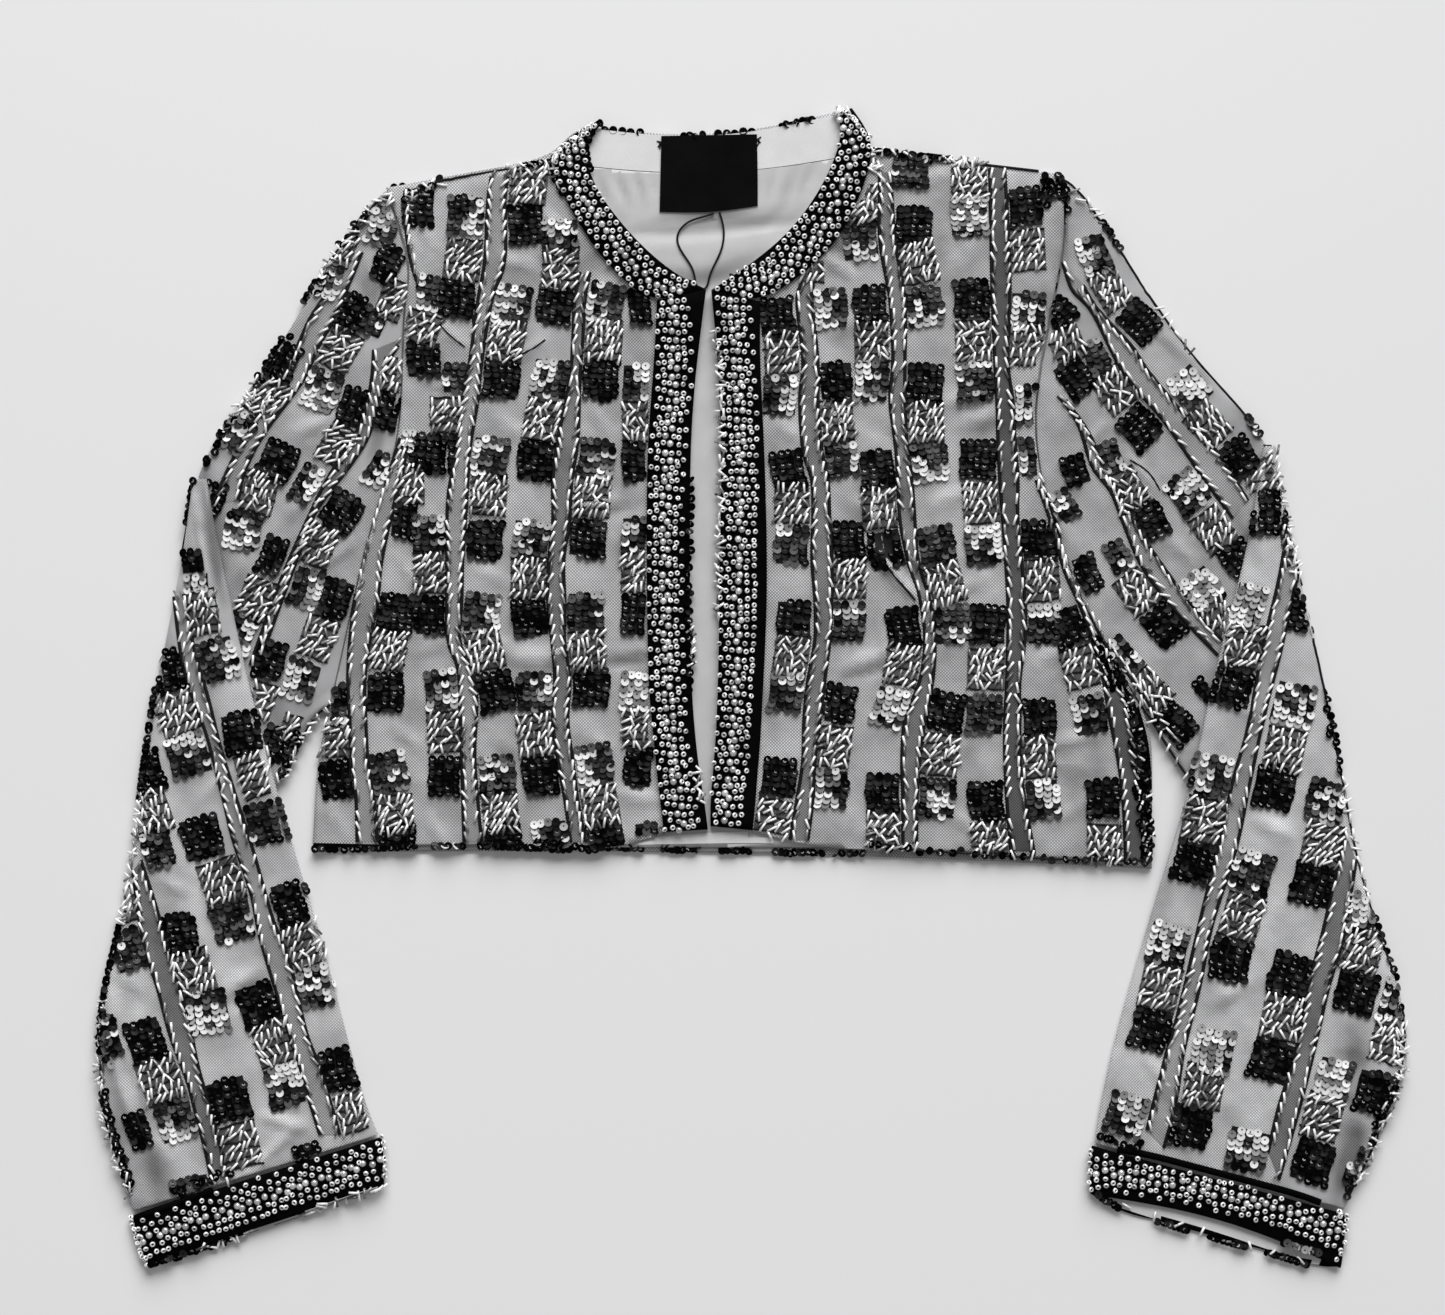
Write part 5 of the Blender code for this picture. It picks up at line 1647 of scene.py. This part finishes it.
# Beads strewn along an edge: piece, kind, spread and pitch in millimetres, and the places
# of its route. The kinds are k for black sequins, u for those that stick out from under
# the piece, s for silver and grey ones, b for bugles, p for round beads, c for a black
# cord, and t for ends of thread.
TRIMS = (
    ("front_left", "b", 1.5, 1.7, (404, 201), (418, 193), (436, 183)),
    ("front_left", "k", 1.5, 3, (404, 200), (418, 192), (438, 181)),
    ("front_left", "c", 0.2, 3, (436, 181), (458, 177), (480, 173), (508, 167), (524, 164)),
    ("front_left", "b", 2, 2.4, (508, 168), (525, 164), (545, 160)),
    ("front_left", "k", 2.2, 1.6, (524, 164), (540, 160), (553, 156)),
    ("upper_left", "c", 0.2, 3, (398, 195), (380, 200), (362, 215), (345, 240), (325, 268)),
    ("upper_left", "b", 2, 2.6, (396, 198), (372, 208), (352, 232), (338, 252), (322, 274)),
    ("upper_left", "k", 1.4, 2.6, (366, 214), (352, 230), (340, 246)),
    ("upper_left", "k", 1.8, 1.3, (320, 276), (312, 290), (305, 302)),
    ("upper_left", "k", 1.4, 2.2, (286, 338), (275, 352), (262, 372), (256, 384)),
    ("upper_left", "b", 1.6, 2.4, (258, 382), (244, 402), (232, 418)),
    ("upper_left", "k", 1.2, 2.6, (232, 420), (222, 436), (214, 450), (206, 462)),
    ("front_right", "k", 2, 1.2, (857, 136), (870, 140), (885, 143)),
    ("front_right", "b", 1.8, 3, (868, 140), (885, 143), (905, 146)),
    ("front_right", "c", 0.3, 3, (857, 134), (890, 141), (930, 148), (980, 154), (1040, 161)),
    ("front_right", "k", 1.4, 2.2, (885, 148), (900, 151), (920, 155), (935, 154)),
    ("front_right", "k", 1.2, 1.4, (926, 148), (934, 149), (942, 151)),
    ("front_right", "b", 1.6, 2.2, (948, 153), (965, 154), (985, 157)),
    ("front_right", "c", 0.6, 3, (872, 152), (900, 156), (930, 156), (950, 155)),
    ("upper_right", "c", 0.2, 3, (1045, 170), (1062, 178), (1082, 194), (1100, 220), (1118, 242)),
    ("upper_right", "b", 0.8, 5, (1076, 190), (1090, 204), (1104, 224)),
    ("upper_right", "k", 0.6, 3.2, (1104, 222), (1112, 234), (1120, 246)),
    ("upper_right", "c", 0.4, 3, (1118, 242), (1130, 262), (1144, 288), (1160, 306)),
    ("upper_right", "c", 0.4, 3, (1160, 306), (1182, 326), (1205, 352), (1228, 378), (1262, 418)),
    ("front_right", "k", 3, 0.8, (1046, 180), (1051, 190), (1050, 202)),
    ("upper_right", "k", 2.4, 0.9, (1060, 184), (1062, 194), (1058, 204)),
    ("upper_right", "b", 0.6, 6, (1160, 306), (1182, 326), (1200, 346)),
    ("front_left", "k", 0.7, 4.5, (313, 849), (345, 850), (380, 851)),
    ("front_left", "k", 0.8, 3.4, (385, 850), (400, 850), (415, 851)),
    ("front_left", "s", 0.7, 2.6, (432, 850), (445, 850), (462, 850)),
    ("front_left", "k", 1.4, 1.5, (480, 848), (500, 848), (520, 850)),
    ("front_left", "k", 0.9, 3.6, (520, 850), (560, 850), (600, 849)),
    ("front_left", "k", 1.6, 1.3, (534, 846), (550, 844), (566, 846)),
    ("back", "u", 0.3, 2.8, (604, 848), (622, 848), (640, 849)),
    ("back", "u", 0.3, 2.8, (662, 849), (680, 850), (698, 850)),
    ("back", "u", 0.3, 3, (722, 851), (735, 851), (748, 852)),
    ("back", "u", 0.3, 2.6, (776, 852), (800, 853), (822, 853)),
    ("back", "u", 0.3, 3.4, (836, 854), (850, 854), (862, 854)),
    ("front_right", "c", 0.3, 3, (870, 845), (930, 851), (1000, 857), (1080, 860), (1146, 861)),
    ("front_right", "k", 0.8, 6, (870, 845), (930, 851), (1000, 857), (1080, 860), (1146, 861)),
    ("lower_left", "c", 0.4, 3, (194, 482), (184, 520), (178, 556)),
    ("lower_left", "k", 0.5, 2.8, (193, 482), (188, 502), (184, 522)),
    ("lower_left", "k", 1, 1.9, (150, 690), (143, 730), (136, 770), (132, 800)),
    ("lower_left", "b", 1.2, 2.8, (134, 795), (126, 840), (118, 880), (112, 920)),
    ("lower_left", "k", 1, 1.7, (112, 925), (105, 960), (101, 1000), (100, 1050)),
    ("lower_left", "k", 1.2, 1.4, (104, 1090), (110, 1120), (120, 1150), (130, 1180)),
    ("lower_right", "c", 0.3, 3, (1316, 638), (1326, 690), (1334, 730), (1342, 770)),
    ("lower_right", "k", 0.6, 5, (1326, 690), (1334, 730), (1342, 770)),
    ("lower_right", "c", 0.3, 3, (1342, 770), (1356, 820), (1368, 860), (1384, 915), (1400, 975)),
    ("lower_right", "b", 1.2, 6, (1345, 780), (1356, 820), (1368, 860), (1380, 900)),
    ("lower_right", "k", 0.7, 5, (1384, 915), (1392, 945), (1400, 975)),
    ("lower_right", "b", 1.2, 2.2, (1396, 1020), (1401, 1050), (1400, 1080)),
    (
        "lower_right", "c", 0.4, 3,
        (1403, 1010), (1404, 1040), (1400, 1070), (1390, 1105), (1372, 1150), (1350, 1196),
    ),
    ("lower_right", "b", 1.4, 2.8, (1402, 1060), (1392, 1100), (1376, 1140), (1358, 1185)),
    ("lower_right", "k", 1.2, 3, (1392, 1080), (1384, 1110), (1370, 1140)),
    ("lower_right", "s", 1, 3.4, (1362, 1150), (1354, 1174), (1346, 1196)),
    ("lower_right", "b", 1, 2.6, (1280, 478), (1286, 505), (1292, 535), (1300, 575)),
    ("lower_right", "c", 0.4, 3, (1278, 470), (1286, 505), (1294, 545), (1302, 585)),
    ("upper_right", "s", 0.8, 2.6, (1252, 414), (1258, 424), (1262, 436)),
    ("upper_right", "c", 0.4, 3, (1138, 710), (1156, 736), (1170, 754), (1186, 776)),
    ("upper_right", "b", 1, 9, (1138, 710), (1156, 736), (1170, 754), (1186, 776)),
    ("upper_left", "c", 0.4, 3, (332, 702), (314, 722), (298, 746), (280, 780)),
    ("upper_left", "b", 1, 3.4, (332, 702), (314, 722), (298, 746), (280, 780)),
    ("upper_left", "k", 1.4, 2.2, (300, 736), (288, 756), (278, 776)),
    ("front_right", "k", 1.4, 1.5, (1118, 672), (1130, 706), (1141, 745), (1147, 800), (1150, 856)),
    ("front_right", "k", 1.4, 2.4, (1112, 660), (1124, 690), (1134, 730), (1141, 790), (1145, 856)),
    ("front_right", "b", 1.6, 8, (1122, 690), (1138, 740), (1146, 800), (1149, 850)),
    ("front_right", "k", 1.2, 2, (1094, 640), (1104, 664), (1114, 690)),
    ("lower_left", "b", 1.2, 2.4, (98, 1000), (98, 1040), (99, 1080)),
    ("lower_left", "s", 1, 2.8, (104, 1012), (107, 1040), (108, 1064)),
    ("lower_left", "b", 1, 3, (100, 1086), (106, 1130), (118, 1168), (130, 1196)),
    ("facing", "t", 0.2, 1, (659, 141), (659, 144), (660, 146)),
    ("facing", "t", 0.2, 1, (759, 138), (759, 141), (758, 143)),
    ("band_right", "b", 0.8, 2.6, (716, 330), (721, 400), (722, 480), (719, 560), (718, 620)),
    ("band_left", "k", 0.5, 5, (694, 480), (689, 540), (689, 600), (690, 690)),
    ("band_left", "b", 0.8, 2.6, (692, 628), (693, 662)),
    ("band_left", "b", 0.8, 2.6, (697, 768), (703, 802)),
    ("neck_left", "p", 1, 2, (596, 123), (580, 133), (564, 146), (551, 160)),
    ("neck_right", "p", 1, 2.4, (846, 112), (858, 122), (868, 136)),
    ("neck_right", "b", 1.6, 1.4, (828, 108), (838, 107), (846, 110)),
    ("neck_left", "k", 0.6, 2.6, (600, 121), (592, 132), (586, 146), (589, 168)),
    ("neck_left", "u", 0.3, 7, (606, 212), (636, 247), (651, 264), (671, 277), (690, 285)),
    ("neck_right", "u", 0.3, 9, (839, 167), (824, 192), (804, 221), (779, 248), (758, 265), (733, 277)),
    ("facing", "u", 0.3, 6, (604, 127), (614, 129), (640, 132)),
    ("facing", "u", 0.3, 3.4, (684, 134), (694, 134), (702, 134)),
    ("facing", "u", 0.3, 5, (718, 133), (735, 132), (752, 130)),
    ("facing", "u", 0.3, 3, (782, 124), (796, 121), (812, 118)),
    ("neck_left", "b", 1.6, 2.6, (553, 152), (551, 165), (554, 182)),
    ("neck_left", "k", 1.6, 2.2, (551, 158), (552, 172), (558, 190)),
    ("front_right", "b", 1.8, 1.8, (868, 152), (876, 166), (884, 182)),
    ("front_right", "s", 1.4, 2.4, (925, 157), (938, 158), (952, 158)),
    ("cuff_right", "k", 0.5, 2.7, (1098, 1196), (1108, 1203), (1118, 1208)),
    ("cuff_right", "k", 0.5, 2.6, (1158, 1224), (1172, 1228), (1188, 1233)),
    ("cuff_right", "k", 0.5, 2.5, (1210, 1239), (1226, 1245), (1244, 1250)),
    ("cuff_right", "k", 0.5, 2.5, (1266, 1258), (1286, 1264), (1306, 1268)),
    ("cuff_right", "s", 0.5, 2.6, (1284, 1243), (1300, 1247), (1318, 1252)),
    ("cuff_right", "b", 0.8, 15, (1130, 1208), (1180, 1226), (1240, 1246), (1300, 1262)),
    ("cuff_right", "p", 1.2, 2.6, (1338, 1206), (1346, 1222), (1344, 1240), (1340, 1258)),
    ("cuff_right", "p", 0.7, 3.6, (1090, 1150), (1089, 1170), (1091, 1190)),
    ("cuff_left", "p", 1.5, 1.7, (128, 1222), (132, 1240), (140, 1258), (150, 1266)),
    ("cuff_left", "p", 0.8, 4, (386, 1136), (388, 1156), (388, 1178)),
    ("cuff_left", "b", 1.2, 3.4, (200, 1250), (225, 1243), (250, 1234)),
    ("cuff_left", "b", 1.2, 3, (305, 1214), (340, 1202), (384, 1188)),
    ("cuff_left", "k", 0.8, 2.6, (150, 1266), (190, 1254), (230, 1240)),
    ("lower_left", "k", 1.2, 2.4, (176, 1192), (206, 1182), (228, 1174)),
    ("lower_right", "k", 1.2, 3, (1098, 1138), (1120, 1142), (1140, 1146)),
)

# How far threads and cords hang over an edge at the most, how thick and how far up such
# a cord is, and how far edge sequins are tilted, in radians.
EDGE_REACH = 0.3
EDGE_CORD_THICK = 1.5
EDGE_CORD_LIFT = 0.5
EDGE_TILT = 0.4

# A thread end: half its length, its width as a share of its length, and its lift.
END_HALF_LONG = 1.4
END_WIDE = 0.3
END_LIFT = 0.4


def thread_end(piece, x, y, heading):
    """Return a short end of thread that sticks out at a piece's edge."""
    middle = edge_place(piece, x, y, EDGE_REACH)
    run = Vector((math.cos(heading), math.sin(heading), 0.0)) * (END_HALF_LONG * MM)
    side = Vector((-run.y, run.x, 0.0)) * END_WIDE
    corners = (middle - run - side, middle + run - side, middle + run + side, middle - run + side)
    points = [tuple(corner + UP * (END_LIFT * MM)) for corner in corners]
    return points, [(0, 1, 2), (0, 2, 3)]


def cord_near(piece, line, wander):
    """Return a cord along a piece's edge, with a little wandering."""
    run = []
    for x, y in line:
        x += rng.gauss(0, wander) * MM
        y += rng.gauss(0, wander) * MM
        run.append(edge_place(piece, x, y, EDGE_REACH) + UP * (EDGE_CORD_LIFT * MM))
    return tube_along(run, EDGE_CORD_THICK, 5)


def lay_trim(piece, kind, x, y):
    """Lay one bead or thread end of a trim, heading any way."""
    heading = rng.uniform(0, 2 * math.pi)
    if kind == "t":
        gathered(piece, "threads").add(thread_end(piece, x, y, heading))
    elif kind == "b":
        tone, lift = bugle_tone(), 1.0 + rng.random()
        lay_near(piece, "bugles", x, y, heading, tone, lift, rng.gauss(0, 0.1))
    elif kind == "p":
        lay_near(piece, "beads", x, y, heading, rng.uniform(0.8, 1.0), 1.0, 0.6)
    else:
        tone, rim_tone_or_glint = sequin_tone(kind, 0, 0, 0, 0)
        pitch, roll = rng.gauss(0, EDGE_TILT), rng.gauss(0, EDGE_TILT)
        lift = -0.5 if kind == "u" else 0.9 + rng.random()
        lay_near(piece, "sequins", x, y, heading, tone, lift, pitch, roll, rim_tone_or_glint)


def sew_trims():
    """Strew the beads that run along the jacket's edges."""
    for piece, kind, wander, pitch, *places in TRIMS:
        line = smooth_line([at(u, v) for u, v in places], pitch * MM)
        if kind == "c":
            gathered(piece, "cords").add(cord_near(piece, line, wander))
            continue
        for x, y in line:
            x += rng.gauss(0, wander) * MM
            y += rng.gauss(0, wander) * MM
            lay_trim(piece, kind, x, y)


class Mouth(NamedTuple):
    """The pale lining that shows at a cuff's mouth: its upper and lower edge.

    start is the height in millimetres from which the cuff is looked for.
    """

    piece: str
    top: tuple
    bottom: tuple
    start: float


MOUTHS = (
    Mouth(
        "cuff_right",
        ((1097, 1188), (1127, 1196), (1160, 1202), (1216, 1214), (1281, 1236), (1326, 1252)),
        ((1100, 1198), (1119, 1208), (1188, 1230), (1234, 1245), (1281, 1260), (1320, 1266)),
        3.0,
    ),
    Mouth(
        "cuff_left",
        ((250, 1231), (278, 1222), (305, 1213)),
        ((250, 1234), (278, 1225), (305, 1216)),
        100.0,
    ),
    Mouth(
        "cuff_left",
        ((305, 1211), (345, 1197), (386, 1184)),
        ((305, 1215), (345, 1201), (386, 1188)),
        100.0,
    ),
)


def sew_mouths():
    """Lay the pale lining that shows at the cuffs' mouths."""
    for mouth in MOUTHS:
        edges = paired(mouth.top, mouth.bottom, STRIP_STEP)
        strip = strip_on(mouth.piece, edges, STRIP_LIFT, mouth.start * MM)
        gathered(mouth.piece, "lining").add(strip)


# The black seams at the tops of the cuffs: their two pieces and their route.
SEAMS = (
    (
        ("cuff_right", "lower_right"),
        ((1092, 1146), (1140, 1153), (1200, 1168), (1300, 1195), (1344, 1213)),
    ),
    (
        ("cuff_left", "lower_left"),
        ((130, 1220), (160, 1209), (230, 1185), (300, 1161), (350, 1146), (385, 1136)),
    ),
)
SEAM_THICK = 4.4
HAIR_STEP = 3.0

# A loose thread, or a dark line painted as the shade in a sharp fold: piece, thickness
# and route.
HAIRS_AND_FOLD_SHADE = (
    ("front_left", 1.0, ((545, 340), (532, 349), (518, 356))),
    ("front_left", 0.9, ((440, 325), (452, 337), (465, 347))),
    ("front_left", 1.6, ((470, 300), (474, 330), (470, 356))),
    ("front_right", 1.4, ((870, 545), (893, 574), (915, 600))),
    ("upper_right", 1.0, ((1130, 460), (1148, 472), (1160, 490))),
)


def sew_hairs_fold_shade_and_seams():
    """Lay the loose threads, the dark lines painted as shade in sharp folds, and the cuffs' seams."""
    for piece, thick, route in HAIRS_AND_FOLD_SHADE:
        line = smooth_line([at(u, v) for u, v in route], HAIR_STEP * MM)
        gathered(piece, "threads").add(tube_on((piece,), line, thick, lift=0.3, sides=4))
    for pieces, route in SEAMS:
        line = smooth_line([at(u, v) for u, v in route], HAIR_STEP * MM)
        gathered(pieces[0], "hem").add(tube_on(pieces, line, SEAM_THICK, lift=0.1))


# The black strips along the fronts' edges: piece, upper or inner edge, and the other one.
HEMS = (
    (
        "front_right",
        ((1124, 672), (1134, 706), (1140, 745), (1141, 800), (1141, 857)),
        ((1126, 664), (1138, 704), (1149, 745), (1153, 800), (1153, 857)),
    ),
    (
        "front_left",
        ((313, 843), (400, 845), (500, 846), (600, 845)),
        ((313, 851), (400, 852), (500, 853), (600, 852)),
    ),
)

# The upper and lower edge of the pale strip that shows above the back's hem: a level sheet
# of the paler facing cloth over the lining's rim, painted light where that rim is in shade.
BACK_HEM = (
    ((604, 846), (640, 836), (690, 829), (753, 826), (800, 829), (840, 836), (866, 846)),
    ((604, 848), (640, 848), (690, 849), (753, 849), (800, 850), (840, 850), (866, 850)),
)

BACK_HEM_LEVEL = 3.3


def sew_hems():
    """Sew the black strips along the fronts, and the pale one along the lining, painted light over its
    shaded rim.
    """
    for piece, top, bottom in HEMS:
        gathered(piece, "hem").add(strip_on(piece, paired(top, bottom, STRIP_STEP), STRIP_LIFT))
    points, faces = strip_on("lining", paired(*BACK_HEM, STRIP_STEP), STRIP_LIFT)
    level_points = [(x, y, BACK_HEM_LEVEL * MM) for x, y, z in points]
    gathered("lining", "lining").add((level_points, faces))


# The lower side: heights and pitches of its beads in millimetres, then the channels and
# the levels of the blocks in pixels.
UNDER_LEVEL = 0.6
ROD_PITCH = (4.4, 4.8)
DISC_PITCH = (4.2, 4.2)
UNDER_STRIP_LEVEL = 0.93
UNDER_LINE_PITCH = 6.6
HIGHEST_UNDER = 1.3
BACK_CHANNELS = (412, 515, 618, 721, 824, 927, 1030)
BACK_BLOCKS = "ksb"
BACK_TOP, BACK_BLOCK_TOP, BACK_BLOCK_END, BACK_END = 150, 178, 840, 850
BACK_STEP = 40
BACK_WAVE, BACK_WAVE_LONG = 5, 90
BACK_LINE_SIDES = (-8, 8)
BACK_BLOCK_SIDES = (-31, 31)
BACK_BLOCK_PITCH = 38
BACK_BLOCK_SIZE = (21, 22)

# The slant of the lower side's bugle beads, in radians, and the cuffs' beads there: how
# many cross a cuff, where they lie as shares of its width, and their greys.
UNDER_SLANT, UNDER_SLANT_SPREAD = 1.0, 0.2
STUDS_ACROSS = 5
FIRST_STUD, STUD_STEP = 0.14, 0.17
STUD_TONES = (0.7, 1.0)
STUD_RIM = 0.9


def under_at(x, y):
    """Return the piece that lies flat on the surface at a place, or None."""
    lowest, found = HIGHEST_UNDER * MM, None
    for name, tree in trees.items():
        place = tree.ray_cast(Vector((x, y, -RAY_START)), UP)[0]
        if place is not None and place.z < lowest:
            lowest, found = place.z, name
    return found


def lay_under(piece, kind, x, y, heading, tone, rim_tone_or_glint=None):
    """Lay one flat bead on the lower side of a piece, where that piece lies flat."""
    if under_at(x, y) == piece:
        put(piece, kind, Vector((x, y, UNDER_LEVEL * MM)), axes_on(DOWN, heading), tone, rim_tone_or_glint)


def block_under(piece, kind, u, v, wide, high, turn):
    """Sew one block of flat beads on the lower side of a piece."""
    pitch = ROD_PITCH if kind == "b" else DISC_PITCH
    columns, rows = max(2, round(wide / pitch[0])), max(2, round(high / pitch[1]))
    slope, shift = rng.uniform(0, 2 * math.pi), rng.uniform(-SILVER_SHIFT, SILVER_SHIFT)
    for row in range(rows):
        for column in range(columns):
            across = cell(column, columns, wide) + rng.gauss(0, STRAY)
            along = rng.gauss(0, STRAY) - cell(row, rows, high)
            x, y = block_place(at(u, v), across, along, turn)
            if kind == "b":
                heading = turn + UNDER_SLANT + rng.gauss(0, UNDER_SLANT_SPREAD)
                lay_under(piece, "rods", x, y, heading, bugle_tone())
            else:
                tone, rim_tone_or_glint = sequin_tone(kind, across / wide * 2, along / high * 2, slope, shift)
                lay_under(piece, "discs", x, y, turn, tone, rim_tone_or_glint)


def line_under(piece, line):
    """Sew bugle beads end to end along a line on the lower side of a piece."""
    for x, y, heading in bead_places(line, UNDER_LINE_PITCH):
        lay_under(piece, "rods", x, y, heading + rng.gauss(LINE_LEAN, 0.15), bugle_tone())


def strip_under(piece, first, second, what):
    """Lay a flat strip between two lines on the lower side of a piece."""
    points, faces, kept = [], [], []
    for start, end in zip(first, second):
        for x, y in (start, end):
            kept.append(under_at(x, y) == piece)
            points.append((x, y, UNDER_STRIP_LEVEL * MM))
    for index in range(0, len(points) - 2, 2):
        if all(kept[index:index + 4]):
            faces += [(index, index + 2, index + 3), (index, index + 3, index + 1)]
    gathered(piece, what).add((points, faces))


def sew_under_back():
    """Sew the lower side of the back: channels with blocks on both their sides."""
    for index, middle in enumerate(BACK_CHANNELS):

        def across(v, side):
            """Return the u of a waving line beside this channel's middle."""
            return middle + side + BACK_WAVE * math.sin(v / BACK_WAVE_LONG + index)

        levels = range(BACK_TOP, BACK_END, BACK_STEP)
        lines = [[at(across(v, side), v) for v in levels] for side in BACK_LINE_SIDES]
        wide = [smooth_line(line, STRIP_STEP * MM) for line in lines]
        strip_under("back", *wide, "channels")
        for line in lines:
            line_under("back", line)
        for number, side in enumerate(BACK_BLOCK_SIDES):
            for step, kind in enumerate(BACK_BLOCKS * 5):
                places_down = step + step // 3 + (index + number) % 2 * 2
                v = BACK_BLOCK_TOP + places_down * BACK_BLOCK_PITCH
                if v < BACK_BLOCK_END:
                    block_under("back", kind, across(v, side), v, *BACK_BLOCK_SIZE, 0.0)


def sew_under_sleeves():
    """Sew the lower sides of the sleeves and cuffs like their upper ones."""
    for piece, places in SLEEVE_SPOTS.items():
        lines = []
        for channel_piece, look, left, right in SLEEVE_CHANNELS:
            if channel_piece == piece:
                wide = paired(left, right, STRIP_STEP)
                strip_under(piece, *wide, "channels")
                for line in wide:
                    line_under(piece, line)
                lines += [left, right]
        for spot in places:
            turn = near_turn(*at(spot.u, spot.v), lines)
            block_under(piece, spot.kind, spot.u, spot.v, spot.wide, spot.high, turn)
    for piece, edges in CUFF_EDGES.items():
        for start, end in zip(*paired(*edges, STRIP_STEP)):
            for step in range(STUDS_ACROSS):
                x, y = start + (end - start) * (FIRST_STUD + STUD_STEP * step)
                lay_under(piece, "studs", x, y, 0.0, rng.uniform(*STUD_TONES), STUD_RIM)


sew_fronts()
sew_sleeves()
sew_bands()
sew_trims()
sew_mouths()
sew_hairs_fold_shade_and_seams()
sew_hems()
sew_under_back()
sew_under_sleeves()
make_placed()
make_gathered()

# Where the loop runs, in millimetres from the origin.
LOOP_ROUTE = (
    (-23, 277.6), (-27.5, 275.9), (-34, 274.6), (-40.5, 271.2), (-44.6, 265.6), (-44.2, 259),
    (-39.6, 252.2), (-35.4, 246.2), (-34, 240.6), (-33.6, 235.4), (-30, 232.2), (-26.4, 235.2),
    (-25.9, 240.8), (-22.8, 247.6), (-18.6, 255.6), (-16.8, 264), (-17.4, 271.6), (-19.8, 278.2),
)
LOOP_LEVEL = 3.82
LOOP_THICK = 1.2


def loop_cord():
    """Make the free cord loop that hangs from the label."""
    curve = bpy.data.curves.new("hanger_loop_cord", "CURVE")
    curve.dimensions = "3D"
    curve.bevel_depth = LOOP_THICK / 2 * MM
    curve.bevel_resolution = 3
    curve.use_fill_caps = True
    curve.resolution_u = 6
    spline = curve.splines.new("NURBS")
    spline.points.add(len(LOOP_ROUTE) - 1)
    spline.order_u = 4
    spline.use_endpoint_u = True
    for point, (x, y) in zip(spline.points, LOOP_ROUTE):
        point.co = (x * MM, y * MM, LOOP_LEVEL * MM, 1.0)
    curve.materials.append(CORD)
    thing = bpy.data.objects.new("hanger_loop_cord", curve)
    bpy.context.scene.collection.objects.link(thing)
    finished(thing, "black_cord", "hanger_loop")


loop_cord()

# The stage in metres. At TRUE_SIZE_LEVEL a pixel of the view is a pixel of the photo.
FLOOR_SIZE = 9.0
FLOOR_LEVEL = -0.0002
TRUE_SIZE_LEVEL = 0.006
SENSOR = 36.0
WORLD_LIGHT = 0.26


def studio():
    """Set up the floor, the soft lights, the world and the camera."""
    bpy.ops.mesh.primitive_plane_add(size=FLOOR_SIZE)
    floor = bpy.context.active_object
    floor.name = "floor"
    floor.location.z = FLOOR_LEVEL
    material, nodes, links, bsdf = shader("pale_floor", 0.8, 0.9)
    bsdf.inputs["Specular IOR Level"].default_value = 0.1
    floor.data.materials.append(material)
    for name, kind, place, size, power in (
        ("key", "SUN", (0.2, 1.2, 0.8), math.radians(45), 3.15),
        ("top", "AREA", (-0.1, 1.3, 1.2), 1.0, 6.5),
    ):
        light = bpy.data.lights.new(name, kind)
        if kind == "SUN":
            light.angle = size
        else:
            light.shape = "SQUARE"
            light.size = size
        light.energy = power
        lamp = bpy.data.objects.new(name, light)
        lamp.location = place
        lamp.rotation_euler = (Vector((0, 0, 0)) - Vector(place)).to_track_quat("-Z", "Y").to_euler()
        bpy.context.scene.collection.objects.link(lamp)
    world = bpy.data.worlds.new("studio")
    world.use_nodes = True
    world.node_tree.nodes["Background"].inputs["Color"].default_value = (1, 1, 1, 1)
    world.node_tree.nodes["Background"].inputs["Strength"].default_value = WORLD_LIGHT
    bpy.context.scene.world = world
    camera = bpy.data.cameras.new("camera")
    camera.sensor_width = SENSOR
    camera.lens = SENSOR * (CAMERA_HEIGHT - TRUE_SIZE_LEVEL) / (PHOTO_WIDE * PIXEL)
    eye = bpy.data.objects.new("camera", camera)
    x, y = at(PHOTO_WIDE / 2, PHOTO_HIGH / 2)
    eye.location = (x, y, CAMERA_HEIGHT)
    bpy.context.scene.collection.objects.link(eye)
    bpy.context.scene.camera = eye
    bpy.context.scene.view_settings.view_transform = "Standard"


studio()


class Cut(NamedTuple):
    """The flat cut of one piece of cloth as it shows: size in metres and what it lies on."""

    width: float
    length: float
    area: float
    rests_on: str
